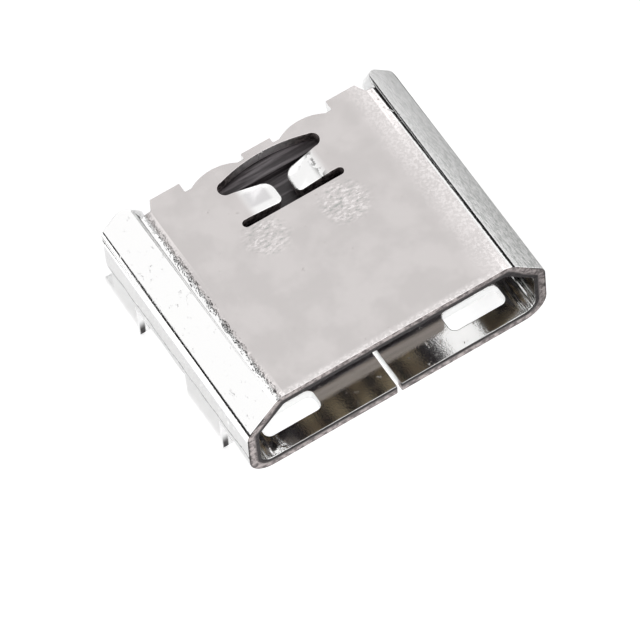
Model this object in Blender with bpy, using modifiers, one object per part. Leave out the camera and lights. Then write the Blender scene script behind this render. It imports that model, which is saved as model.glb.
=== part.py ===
"""Micro USB socket with a folded steel shell, a moulded insulator and five contacts.

X runs across the mouth, -Y faces the plug, +Z points away from the board. The origin is at
the centre of the footprint, level with the tips of the four board legs.
"""

from math import atan2, cos, hypot, pi, radians, sin, tan

import bmesh
import bpy
from mathutils import Vector

MM = 0.001

# Shell section, outside sizes
SHELL_WIDTH = 7.5 * MM
SHELL_HEIGHT = 2.5 * MM
SHEET = 0.3 * MM
TOP_WIDTH = 5.8 * MM
SHOULDER_DROP = 0.87 * MM
UPPER_BEND_INSIDE = 0.15 * MM
LOWER_BEND_INSIDE = 0.3 * MM
SEAM_GAP = 0.1 * MM
FACETS_PER_RIGHT_ANGLE = 8

# Shell lengths, from the mouth rim to the back
TOP_LENGTH = 5.46 * MM
SIDE_OVERHANG = 0.38 * MM
SIDE_END_UPPER_RADIUS = 0.55 * MM
SIDE_END_LOWER_RADIUS = 0.2 * MM
SIDE_END_NOTCH = 0.16 * MM
SHOULDER_LOBE = 0.19 * MM
BOTTOM_SETBACK = 0.36 * MM

# Tabs and bumps along the top panel's back edge
CORNER_TAB_INSET = 0.12 * MM
CORNER_TAB_WIDTH = 0.75 * MM
CORNER_TAB_REACH = 0.25 * MM
MIDDLE_TAB_WIDTH = 0.75 * MM
MIDDLE_TAB_REACH = 0.14 * MM
BUMP_REACH = 0.16 * MM
BUMP_STEPS = 6
EDGE_NOTCH_WIDTH = 0.15 * MM

# Anchor cutout in the top panel
CUTOUT_HALF_WIDTH = 1.26 * MM
CUTOUT_WEB = 0.07 * MM
BACK_SLOT_ARCH = 0.17 * MM
BACK_SLOT_ARCH_STEPS = 4
BACK_SLOT_END_DEPTH = 0.34 * MM
BACK_SLOT_TAPER = 0.1 * MM
ANCHOR_TONGUE_WIDTH = 0.64 * MM
FRONT_SLOT_DEPTH = 0.18 * MM
STEM_WIDTH = 0.38 * MM
TONGUE_TIP_BACK_RADIUS = 0.28 * MM
TONGUE_TIP_FRONT_RADIUS = 0.14 * MM
TONGUE_ROOT_INSET = 0.25 * MM
TONGUE_DIP = radians(7)

# Board legs, lanced out of the bottom panel
LEG_DROP = 0.75 * MM
LEG_WIDTH = 1.37 * MM
FRONT_LEG_START = 1.27 * MM
LEG_TIP_CHAMFER = 0.12 * MM
HEEL_OVERHANG = 0.19 * MM
HEEL_RADIUS = 0.15 * MM
HEEL_RISE = 0.05 * MM
NECK_SETBACK = 0.22 * MM
NECK_RISE = 0.1 * MM
LANCE_GAP = 0.15 * MM

# Latch holes in the bottom panel, one on each side of the middle
LATCH_HOLE_INSET = 1.64 * MM
LATCH_HOLE_WIDTH = 1.4 * MM
LATCH_HOLE_START = 0.47 * MM
LATCH_HOLE_DEPTH = 0.52 * MM
LATCH_HOLE_RADIUS = 0.15 * MM

# Insulator
FIT_CLEARANCE = 0.02 * MM
BLOCK_DEPTH = 1.94 * MM
BLOCK_OVERHANG = 0.12 * MM
TONGUE_FRONT = 1.05 * MM
TONGUE_SIDE_MARGIN = 0.35 * MM
TONGUE_THICKNESS = 0.6 * MM
TONGUE_FLOOR_GAP = 0.35 * MM
TONGUE_EDGE_BEVEL = 0.1 * MM
POCKET_MARGIN = 0.12 * MM
POCKET_DEPTH = 0.2 * MM

# Contacts
CONTACT_COUNT = 5
CONTACT_PITCH = 0.65 * MM
CONTACT_WIDTH = 0.35 * MM
CONTACT_THICKNESS = 0.15 * MM
CONTACT_PROUD = 0.04 * MM
CONTACT_SETBACK = 0.2 * MM
CONTACT_BEND_INSIDE = 0.08 * MM
CONTACT_TAIL_GAP = 0.02 * MM
CONTACT_FOOT_LENGTH = 0.5 * MM
CONTACT_BEND_STEPS = 4

# Places worked out from the sizes above
HALF_SHEET = SHEET / 2
BOARD_LEVEL = LEG_DROP
TOP_LEVEL = BOARD_LEVEL + SHELL_HEIGHT
FLOOR_LEVEL = BOARD_LEVEL + SHEET
SHOULDER_ANGLE = atan2(SHOULDER_DROP, (SHELL_WIDTH - TOP_WIDTH) / 2)
SIDE_LENGTH = TOP_LENGTH + SIDE_OVERHANG
BOTTOM_LENGTH = TOP_LENGTH - BOTTOM_SETBACK
BACK_LEG_BACK = SIDE_LENGTH + HEEL_OVERHANG
BACK_LEG_START = BACK_LEG_BACK - LEG_WIDTH
BACK_SLOT_FRONT = TOP_LENGTH - CUTOUT_WEB - BACK_SLOT_ARCH - BACK_SLOT_END_DEPTH
FRONT_SLOT_BACK = BACK_SLOT_FRONT - BACK_SLOT_TAPER - ANCHOR_TONGUE_WIDTH
FRONT_SLOT_FRONT = FRONT_SLOT_BACK - FRONT_SLOT_DEPTH
TONGUE_ROOT = CUTOUT_HALF_WIDTH - TONGUE_ROOT_INSET
BLOCK_BACK = TOP_LENGTH + BLOCK_OVERHANG
BLOCK_FRONT = BLOCK_BACK - BLOCK_DEPTH
TONGUE_WIDTH = (CONTACT_COUNT - 1) * CONTACT_PITCH + CONTACT_WIDTH + 2 * TONGUE_SIDE_MARGIN
CONTACT_TAIL_START = BLOCK_BACK + CONTACT_TAIL_GAP
OVERALL_LENGTH = max(CONTACT_TAIL_START + CONTACT_FOOT_LENGTH, BACK_LEG_BACK)
MOUTH_Y = -OVERALL_LENGTH / 2
CUTTER_REACH = 2.0 * MM

# Distances under which points are taken as one
WELD_DISTANCE = 0.0005 * MM
SCORE_TOLERANCE = 0.0002 * MM

# Colour, metallic and roughness of each material
STEEL = ((0.62, 0.61, 0.60), 1.0, 0.32)
BLACK_PLASTIC = ((0.03, 0.028, 0.028), 0.0, 0.5)
GOLD_PLATE = ((0.83, 0.68, 0.42), 1.0, 0.3)


def clear_scene():
    """Remove every object of the starting scene."""
    for old in list(bpy.data.objects):
        bpy.data.objects.remove(old, do_unlink=True)


def new_collection(name):
    """Add a collection to the scene."""
    collection = bpy.data.collections.new(name)
    bpy.context.scene.collection.children.link(collection)
    return collection


def new_material(name, look):
    """Make a Principled material from its colour, metallic and roughness values."""
    colour, metallic, roughness = look
    material = bpy.data.materials.new(name)
    material.use_nodes = True
    shader = material.node_tree.nodes["Principled BSDF"]
    shader.inputs["Base Color"].default_value = (*colour, 1.0)
    shader.inputs["Metallic"].default_value = metallic
    shader.inputs["Roughness"].default_value = roughness
    material.diffuse_color = (*colour, 1.0)
    return material


class FoldedSection:
    """The right half of the shell's cross-section, as a path along the middle of its sheet.

    The path starts at the top centre, turns down at the shoulder, and ends at the seam. A
    station is a length along that path. It is also the X coordinate in the flat blank.
    """

    def __init__(self):
        side_angle = pi / 2 - SHOULDER_ANGLE
        upper_radius = UPPER_BEND_INSIDE + SHEET
        lower_radius = LOWER_BEND_INSIDE + SHEET
        top_set = upper_radius * tan(SHOULDER_ANGLE / 2)
        side_set = upper_radius * tan(side_angle / 2)
        slope = hypot(SHOULDER_DROP, (SHELL_WIDTH - TOP_WIDTH) / 2)
        upper_middle = UPPER_BEND_INSIDE + HALF_SHEET
        lower_middle = LOWER_BEND_INSIDE + HALF_SHEET
        steps = [
            (TOP_WIDTH / 2 - top_set, 0.0),
            (upper_middle * SHOULDER_ANGLE, SHOULDER_ANGLE),
            (slope - top_set - side_set, 0.0),
            (upper_middle * side_angle, side_angle),
            (SHELL_HEIGHT - SHOULDER_DROP - side_set - lower_radius, 0.0),
            (lower_middle * pi / 2, pi / 2),
            (SHELL_WIDTH / 2 - lower_radius - SEAM_GAP / 2, 0.0),
        ]
        self.stretches = []
        place = Vector((0.0, TOP_LEVEL - HALF_SHEET))
        station = 0.0
        heading = 0.0
        for length, turn in steps:
            self.stretches.append((station, length, turn, place.copy(), heading))
            place, heading = self.advance(place, heading, length, turn, length)
            station += length
        self.top_end = self.stretches[1][0]
        self.side_bend = self.stretches[3][0]
        self.lower_bend = self.stretches[5][0]
        self.end = station

    @staticmethod
    def advance(place, heading, length, turn, travel):
        """Walk along one flat or bent stretch, and return the new place and heading."""
        if turn == 0.0:
            return place + travel * Vector((cos(heading), -sin(heading))), heading
        radius = length / turn
        end_heading = heading + travel / radius
        across = Vector((sin(end_heading) - sin(heading), cos(end_heading) - cos(heading)))
        return place + radius * across, end_heading

    def frame_at(self, station):
        """Return the place and the heading of a station."""
        chosen = self.stretches[0]
        for stretch in self.stretches:
            if station >= stretch[0]:
                chosen = stretch
        start, length, turn, place, heading = chosen
        return self.advance(place, heading, length, turn, station - start)

    def point(self, station, height):
        """Return X and Z of a point at a height above the middle of the sheet."""
        place, heading = self.frame_at(station)
        return place + height * Vector((sin(heading), cos(heading)))

    def bend_stations(self):
        """List the stations where the folded sheet changes direction."""
        stations = []
        for start, length, turn, _place, _heading in self.stretches:
            if turn == 0.0:
                continue
            count = max(2, round(FACETS_PER_RIGHT_ANGLE * turn / (pi / 2)))
            stations += [start + length * step / count for step in range(count + 1)]
        return stations


SECTION = FoldedSection()
LEG_END = SECTION.lower_bend + LOWER_BEND_INSIDE + SHEET + LEG_DROP


def arc(centre, radius, start, end, count=6):
    """List points on an arc. Angles are in degrees, from +X towards +Y."""
    points = []
    for step in range(count + 1):
        angle = radians(start + (end - start) * step / count)
        points.append((centre[0] + radius * cos(angle), centre[1] + radius * sin(angle)))
    return points


def mirrored(half):
    """Close a half outline that runs from the centre line outward with its mirror image."""
    other = [(-x, y) for x, y in reversed(half) if abs(x) > 1e-9]
    return half + other


def back_edge():
    """Half of the top panel's back edge, from the middle tab to the corner of the panel."""
    base = TOP_LENGTH
    middle = MIDDLE_TAB_WIDTH / 2
    corner_outer = SECTION.top_end - CORNER_TAB_INSET
    corner_inner = corner_outer - CORNER_TAB_WIDTH
    left = middle + EDGE_NOTCH_WIDTH
    right = corner_inner - EDGE_NOTCH_WIDTH
    edge = [(middle, base + MIDDLE_TAB_REACH), (middle, base)]
    for step in range(BUMP_STEPS + 1):
        share = step / BUMP_STEPS
        edge.append((left + (right - left) * share, base + BUMP_REACH * sin(pi * share)))
    edge.append((corner_inner, base))
    edge.append((corner_inner, base + CORNER_TAB_REACH))
    edge.append((corner_outer, base + CORNER_TAB_REACH))
    edge.append((SECTION.top_end, base))
    return edge


def back_leg_outline():
    """The back leg's edge in the blank, from its front root round the tip and heel to its neck."""
    root = SECTION.lower_bend
    heel = LEG_END - LEG_DROP - HEEL_RISE
    neck = SIDE_LENGTH - NECK_SETBACK
    outline = [(root, BACK_LEG_START)]
    outline.append((LEG_END - LEG_TIP_CHAMFER, BACK_LEG_START))
    outline.append((LEG_END, BACK_LEG_START + LEG_TIP_CHAMFER))
    outline.append((LEG_END, BACK_LEG_BACK - LEG_TIP_CHAMFER))
    outline.append((LEG_END - LEG_TIP_CHAMFER, BACK_LEG_BACK))
    outline += arc((heel + HEEL_RADIUS, BACK_LEG_BACK - HEEL_RADIUS), HEEL_RADIUS, 90, 180)
    outline.append((heel, neck))
    outline.append((root - NECK_RISE, neck))
    return outline


def side_end_outline():
    """The back end of the side wall and of the shoulder's lobe, from the neck up to the top panel."""
    low = SECTION.lower_bend - NECK_RISE - SIDE_END_LOWER_RADIUS
    high = SECTION.top_end + SIDE_END_NOTCH + SIDE_END_UPPER_RADIUS
    lower_centre = (low, SIDE_LENGTH - SIDE_END_LOWER_RADIUS)
    lobe_centre = (SECTION.side_bend, SIDE_LENGTH)
    upper_centre = (high, SIDE_LENGTH + SHOULDER_LOBE - SIDE_END_UPPER_RADIUS)
    outline = arc(lower_centre, SIDE_END_LOWER_RADIUS, 0, 90)
    outline += arc(lobe_centre, SHOULDER_LOBE, 0, 90)
    outline += arc(upper_centre, SIDE_END_UPPER_RADIUS, 90, 180)
    outline.append((SECTION.top_end + SIDE_END_NOTCH, TOP_LENGTH))
    return outline


def blank_outline():
    """Half of the flat blank's outline, from the mouth rim's end round to the back edge."""
    window_end = LEG_END + LANCE_GAP
    window_front = BACK_LEG_START - LANCE_GAP
    outline = [(SECTION.end, 0.0), (SECTION.end, BOTTOM_LENGTH)]
    outline.append((window_end, BOTTOM_LENGTH))
    outline.append((window_end, window_front))
    outline.append((SECTION.lower_bend, window_front))
    outline += back_leg_outline()
    outline += side_end_outline()
    return outline + list(reversed(back_edge()))


def leg_window():
    """The closed outline of the lanced slot round the front leg, on the +X side."""
    start = FRONT_LEG_START
    end = FRONT_LEG_START + LEG_WIDTH
    root = SECTION.lower_bend
    far = LEG_END + LANCE_GAP
    return [
        (root, start - LANCE_GAP),
        (far, start - LANCE_GAP),
        (far, end + LANCE_GAP),
        (root, end + LANCE_GAP),
        (root, end),
        (LEG_END - LEG_TIP_CHAMFER, end),
        (LEG_END, end - LEG_TIP_CHAMFER),
        (LEG_END, start + LEG_TIP_CHAMFER),
        (LEG_END - LEG_TIP_CHAMFER, start),
        (root, start),
    ]


def latch_hole():
    """The closed outline of the hole that one of the plug's hooks catches in, on the +X side."""
    radius = LATCH_HOLE_RADIUS
    inner = SECTION.end + SEAM_GAP / 2 - LATCH_HOLE_INSET - radius
    outer = inner - LATCH_HOLE_WIDTH + 2 * radius
    front = LATCH_HOLE_START + radius
    back = front + LATCH_HOLE_DEPTH - 2 * radius
    outline = arc((inner, front), radius, -90, 0)
    outline += arc((inner, back), radius, 0, 90)
    outline += arc((outer, back), radius, 90, 180)
    outline += arc((outer, front), radius, 180, 270)
    return outline


def anchor_cutout():
    """The closed outline of the cutout: a wide arched back slot, a stem and a narrow front slot."""
    end_radius = BACK_SLOT_END_DEPTH / 2
    slot_end = CUTOUT_HALF_WIDTH - end_radius
    front_radius = FRONT_SLOT_DEPTH / 2
    front_end = CUTOUT_HALF_WIDTH - front_radius
    front_tip = STEM_WIDTH / 2 + TONGUE_TIP_FRONT_RADIUS
    back_tip = STEM_WIDTH / 2 + TONGUE_TIP_BACK_RADIUS
    back_centre = BACK_SLOT_FRONT - BACK_SLOT_TAPER - TONGUE_TIP_BACK_RADIUS
    front_centre = FRONT_SLOT_BACK + TONGUE_TIP_FRONT_RADIUS
    half = arc((front_end, FRONT_SLOT_FRONT + front_radius), front_radius, -90, 90, 8)
    half += arc((front_tip, front_centre), TONGUE_TIP_FRONT_RADIUS, 270, 180, 5)
    half += arc((back_tip, back_centre), TONGUE_TIP_BACK_RADIUS, 180, 90, 5)
    half += arc((slot_end, BACK_SLOT_FRONT + end_radius), end_radius, -90, 90, 8)
    for step in range(1, BACK_SLOT_ARCH_STEPS + 1):
        share = 1 - step / BACK_SLOT_ARCH_STEPS
        rise = BACK_SLOT_ARCH * (1 - share**2)
        half.append((slot_end * share, BACK_SLOT_FRONT + BACK_SLOT_END_DEPTH + rise))
    return mirrored(half)


def flat_plate(name, outlines, thickness):
    """Fill closed outlines as a plate, with the inner outlines as holes, and return its mesh."""
    curve = bpy.data.curves.new(name, "CURVE")
    curve.dimensions = "2D"
    curve.fill_mode = "BOTH"
    curve.extrude = thickness / 2
    for outline in outlines:
        spline = curve.splines.new("POLY")
        spline.points.add(len(outline) - 1)
        for point, (x, y) in zip(spline.points, outline):
            point.co = (x, y, 0.0, 1.0)
        spline.use_cyclic_u = True
    holder = bpy.data.objects.new(name, curve)
    bpy.context.scene.collection.objects.link(holder)
    evaluated = holder.evaluated_get(bpy.context.evaluated_depsgraph_get())
    mesh = bpy.data.meshes.new_from_object(evaluated)
    bpy.data.objects.remove(holder, do_unlink=True)
    bpy.data.curves.remove(curve)
    return mesh


def weld(mesh):
    """Close the seams between a plate's faces and its rim."""
    work = bmesh.new()
    work.from_mesh(mesh)
    bmesh.ops.remove_doubles(work, verts=work.verts, dist=WELD_DISTANCE)
    bmesh.ops.recalc_face_normals(work, faces=work.faces)
    work.to_mesh(mesh)
    work.free()


def add_object(name, mesh, collection, material):
    """Put a mesh in a collection as a named object with one material."""
    mesh.name = name
    mesh.materials.clear()
    mesh.materials.append(material)
    piece = bpy.data.objects.new(name, mesh)
    collection.objects.link(piece)
    return piece


def add_cutter(name, mesh, collection):
    """Put a mesh in the cutters' collection."""
    cutter = bpy.data.objects.new(name, mesh)
    collection.objects.link(cutter)
    cutter.hide_render = True
    cutter.display_type = "WIRE"
    return cutter


def boolean(piece, cutter, operation):
    """Cut a piece by a cutter, or join the cutter to it."""
    modifier = piece.modifiers.new(cutter.name, "BOOLEAN")
    modifier.operation = operation
    modifier.solver = "EXACT"
    modifier.object = cutter


def box_mesh(name, low, high):
    """Make a box between two corners."""
    work = bmesh.new()
    bmesh.ops.create_cube(work, size=1.0)
    middle = (Vector(low) + Vector(high)) / 2
    size = Vector(high) - Vector(low)
    for vertex in work.verts:
        vertex.co = Vector(component * side for component, side in zip(vertex.co, size)) + middle
    mesh = bpy.data.meshes.new(name)
    work.to_mesh(mesh)
    work.free()
    return mesh


def depth_to_y(depth):
    """Turn a distance back from the mouth rim into world Y."""
    return MOUTH_Y + depth


def in_leg(station, depth):
    """Tell whether a point of the blank belongs to a board leg."""
    margin = LANCE_GAP / 3
    if not SECTION.lower_bend < station < LEG_END + margin:
        return False
    front = FRONT_LEG_START - margin < depth < FRONT_LEG_START + LEG_WIDTH + margin
    return front or BACK_LEG_START - margin < depth < BACK_LEG_BACK + margin


def in_tongue(station, depth):
    """Tell whether a point of the blank's right half belongs to one of the cutout's tongues."""
    margin = FRONT_SLOT_DEPTH / 4
    inner = STEM_WIDTH / 2 - margin
    in_width = inner < station < TONGUE_ROOT
    return in_width and FRONT_SLOT_BACK - margin < depth < BACK_SLOT_FRONT + margin


def fold(station, depth, height):
    """Move one point of the flat blank to its place in the folded shell."""
    side = -1.0 if station < 0.0 else 1.0
    reach = abs(station)
    if in_leg(reach, depth):
        start = SECTION.point(SECTION.lower_bend, height)
        x, z = start.x, start.y - (reach - SECTION.lower_bend)
    elif in_tongue(reach, depth):
        x = TONGUE_ROOT - (TONGUE_ROOT - reach) * cos(TONGUE_DIP) - height * sin(TONGUE_DIP)
        drop = (TONGUE_ROOT - reach) * sin(TONGUE_DIP)
        z = TOP_LEVEL - HALF_SHEET - drop + height * cos(TONGUE_DIP)
    else:
        x, z = SECTION.point(reach, height)
    return Vector((side * x, depth_to_y(depth), z))


def score(work, station):
    """Add an edge line across the blank, where the sheet will bend."""
    geometry = list(work.verts) + list(work.edges) + list(work.faces)
    bmesh.ops.bisect_plane(
        work, geom=geometry, dist=SCORE_TOLERANCE, plane_co=(station, 0.0, 0.0), plane_no=(1.0, 0.0, 0.0)
    )


def make_shell(collection, material):
    """Stamp the blank, score its bend lines and fold it round into the shell."""
    outlines = [mirrored(blank_outline()), anchor_cutout()]
    for hole in (leg_window(), latch_hole()):
        outlines += [hole, [(-x, y) for x, y in reversed(hole)]]
    mesh = flat_plate("shell", outlines, SHEET)
    weld(mesh)
    work = bmesh.new()
    work.from_mesh(mesh)
    for station in SECTION.bend_stations() + [TONGUE_ROOT]:
        score(work, station)
        score(work, -station)
    for vertex in work.verts:
        vertex.co = fold(*vertex.co)
    bmesh.ops.recalc_face_normals(work, faces=work.faces)
    work.to_mesh(mesh)
    work.free()
    return add_object("shell", mesh, collection, material)


def block_outline():
    """The insulator block's outline in X and Z: the shell's inside less the fit clearance."""
    height = -(HALF_SHEET + FIT_CLEARANCE)
    return mirrored([tuple(SECTION.point(station, height)) for station in SECTION.bend_stations()])


def upright(mesh, front, back):
    """Stand a flat plate up, so that its outline lies in X and Z and it runs between two depths."""
    middle = depth_to_y((front + back) / 2)
    for vertex in mesh.vertices:
        x, z, thickness = vertex.co
        vertex.co = (x, middle - thickness, z)


def make_insulator(collection, cutters, material):
    """Mould the block and its tongue, with grooves for the contacts and pockets for the anchor."""
    mesh = flat_plate("insulator", [block_outline()], BLOCK_BACK - BLOCK_FRONT)
    upright(mesh, BLOCK_FRONT, BLOCK_BACK)
    weld(mesh)
    insulator = add_object("insulator", mesh, collection, material)
    boolean(insulator, make_tongue(cutters), "UNION")
    for index in range(CONTACT_COUNT):
        boolean(insulator, make_contact_groove(cutters, index), "DIFFERENCE")
    boolean(insulator, make_anchor_pocket(cutters), "DIFFERENCE")
    return insulator


def tongue_levels():
    """Return the heights of the tongue's underside and top."""
    low = FLOOR_LEVEL + TONGUE_FLOOR_GAP
    return low, low + TONGUE_THICKNESS


def make_tongue(cutters):
    """The flat tongue that reaches forward from the block, with its front edges bevelled."""
    low, high = tongue_levels()
    overlap = (BLOCK_BACK - BLOCK_FRONT) / 4
    front = (-TONGUE_WIDTH / 2, depth_to_y(TONGUE_FRONT), low)
    back = (TONGUE_WIDTH / 2, depth_to_y(BLOCK_FRONT + overlap), high)
    tongue = add_cutter("tongue_form", box_mesh("tongue_form", front, back), cutters)
    bevel = tongue.modifiers.new("edges", "BEVEL")
    bevel.width = TONGUE_EDGE_BEVEL
    bevel.segments = 2
    bevel.limit_method = "ANGLE"
    return tongue


def contact_x(index):
    """Return the centre of a contact across the tongue."""
    return (index - (CONTACT_COUNT - 1) / 2) * CONTACT_PITCH


def contact_levels():
    """Return the heights of a contact's underside and top on the tongue."""
    top = tongue_levels()[1] + CONTACT_PROUD
    return top - CONTACT_THICKNESS, top


def make_contact_groove(cutters, index):
    """The groove along the tongue, and the tunnel through the block, that hold one contact."""
    low, high = contact_levels()
    half = CONTACT_WIDTH / 2 + FIT_CLEARANCE
    start = TONGUE_FRONT + CONTACT_SETBACK - FIT_CLEARANCE
    corner = (contact_x(index) - half, depth_to_y(start), low - FIT_CLEARANCE)
    opposite = (contact_x(index) + half, depth_to_y(BLOCK_BACK + CUTTER_REACH), high + FIT_CLEARANCE)
    name = f"contact_groove_{index + 1}"
    return add_cutter(name, box_mesh(name, corner, opposite), cutters)


def make_anchor_pocket(cutters):
    """The recess in the block's top that takes the two dipped tongues."""
    half = CUTOUT_HALF_WIDTH + POCKET_MARGIN
    floor = TOP_LEVEL - SHEET - FIT_CLEARANCE - POCKET_DEPTH
    front = depth_to_y(FRONT_SLOT_FRONT - POCKET_MARGIN)
    back = depth_to_y(BACK_SLOT_FRONT + POCKET_MARGIN)
    mesh = box_mesh("anchor_pocket", (-half, front, floor), (half, back, TOP_LEVEL))
    return add_cutter("anchor_pocket", mesh, cutters)


def contact_path():
    """The middle line of a contact in Y and Z: tongue, drop behind the block, solder foot."""
    radius = CONTACT_BEND_INSIDE + CONTACT_THICKNESS / 2
    top = contact_levels()[0] + CONTACT_THICKNESS / 2
    bottom = BOARD_LEVEL + CONTACT_THICKNESS / 2
    drop_y = CONTACT_TAIL_START + CONTACT_THICKNESS / 2 + CONTACT_BEND_INSIDE
    start = TONGUE_FRONT + CONTACT_SETBACK
    path = [(start, top, 0.0)]
    for step in range(CONTACT_BEND_STEPS + 1):
        angle = pi / 2 * step / CONTACT_BEND_STEPS
        path.append((drop_y - radius + radius * sin(angle), top - radius + radius * cos(angle), angle))
    for step in range(CONTACT_BEND_STEPS + 1):
        angle = pi / 2 * (1 - step / CONTACT_BEND_STEPS)
        path.append((drop_y + radius - radius * sin(angle), bottom + radius - radius * cos(angle), angle))
    path.append((CONTACT_TAIL_START + CONTACT_FOOT_LENGTH, bottom, 0.0))
    return path


def make_contact(collection, material, index):
    """Form one contact: a strip of even thickness that follows the contact's path."""
    half = CONTACT_THICKNESS / 2
    path = contact_path()
    upper = [(depth + half * sin(angle), level + half * cos(angle)) for depth, level, angle in path]
    lower = [(depth - half * sin(angle), level - half * cos(angle)) for depth, level, angle in path]
    mesh = flat_plate(f"contact_{index + 1}", [upper + list(reversed(lower))], CONTACT_WIDTH)
    for vertex in mesh.vertices:
        depth, level, across = vertex.co
        vertex.co = (contact_x(index) + across, depth_to_y(depth), level)
    weld(mesh)
    return add_object(f"contact_{index + 1}", mesh, collection, material)


def main():
    """Build the whole socket."""
    clear_scene()
    parts = new_collection("micro_usb_socket")
    cutters = new_collection("cutters")
    steel = new_material("shell_steel", STEEL)
    plastic = new_material("black_plastic", BLACK_PLASTIC)
    gold = new_material("gold_plate", GOLD_PLATE)
    make_shell(parts, steel)
    make_insulator(parts, cutters, plastic)
    for index in range(CONTACT_COUNT):
        make_contact(parts, gold, index)


main()
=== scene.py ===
"""Looks of a micro USB socket: a folded plated shell, a black moulding and five gold contacts.

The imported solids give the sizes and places. The shell, the moulding and the contacts are modelled here
with fine bends and softened edges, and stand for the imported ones. Lengths are in millimetres while a piece
is on the bench. It is shrunk to metres when it is finished.
"""

import logging
from collections.abc import Callable
from dataclasses import dataclass, field
from enum import Enum
from math import asin, atan2, cos, hypot, pi, radians, sin, tan

import bmesh
import bpy
from mathutils import Matrix, Vector


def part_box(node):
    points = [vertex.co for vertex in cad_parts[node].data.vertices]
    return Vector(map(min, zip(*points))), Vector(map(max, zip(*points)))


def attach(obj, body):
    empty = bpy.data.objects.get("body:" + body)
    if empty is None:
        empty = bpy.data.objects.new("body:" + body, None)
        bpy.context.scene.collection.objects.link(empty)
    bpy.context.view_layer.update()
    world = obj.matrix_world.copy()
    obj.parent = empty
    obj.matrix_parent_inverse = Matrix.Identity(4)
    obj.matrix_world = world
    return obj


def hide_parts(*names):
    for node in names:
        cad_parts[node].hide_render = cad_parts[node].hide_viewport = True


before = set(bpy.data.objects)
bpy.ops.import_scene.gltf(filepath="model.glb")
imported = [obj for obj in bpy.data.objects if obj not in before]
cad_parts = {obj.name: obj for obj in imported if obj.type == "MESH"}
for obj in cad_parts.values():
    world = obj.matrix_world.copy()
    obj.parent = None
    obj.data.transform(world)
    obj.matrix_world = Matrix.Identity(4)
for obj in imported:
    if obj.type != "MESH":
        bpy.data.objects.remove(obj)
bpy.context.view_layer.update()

LOG = logging.getLogger("socket")

MM = 0.001
BODY = "root"
BOARD_LEVEL = 0.75
BLOCK_DEPTH = 1.94

Element = bmesh.types.BMVert | bmesh.types.BMEdge | bmesh.types.BMFace
NodeSocket = bpy.types.NodeSocket
Test = Callable[[Vector, Vector], bool]
Range = tuple[float, float]
Triple = tuple[float, float, float]
Span = tuple[float, float, float, float]
Colour = tuple[float, float, float, float]


class Axis(Enum):
    """The three directions of the socket: across the mouth, back from it, and away from the board."""

    ACROSS = (1.0, 0.0, 0.0)
    BACK = (0.0, 1.0, 0.0)
    UP = (0.0, 0.0, 1.0)

    @property
    def vector(self) -> Vector:
        """The direction as a vector."""
        return Vector(self.value)

    def by(self, distance: float) -> Vector:
        """Return a step of a length in this direction."""
        return distance * self.vector


class Part(Enum):
    """The kinds of mesh element that a selection can hold."""

    POINT = "VERT"
    EDGE = "EDGE"
    FACE = "FACE"


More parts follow.
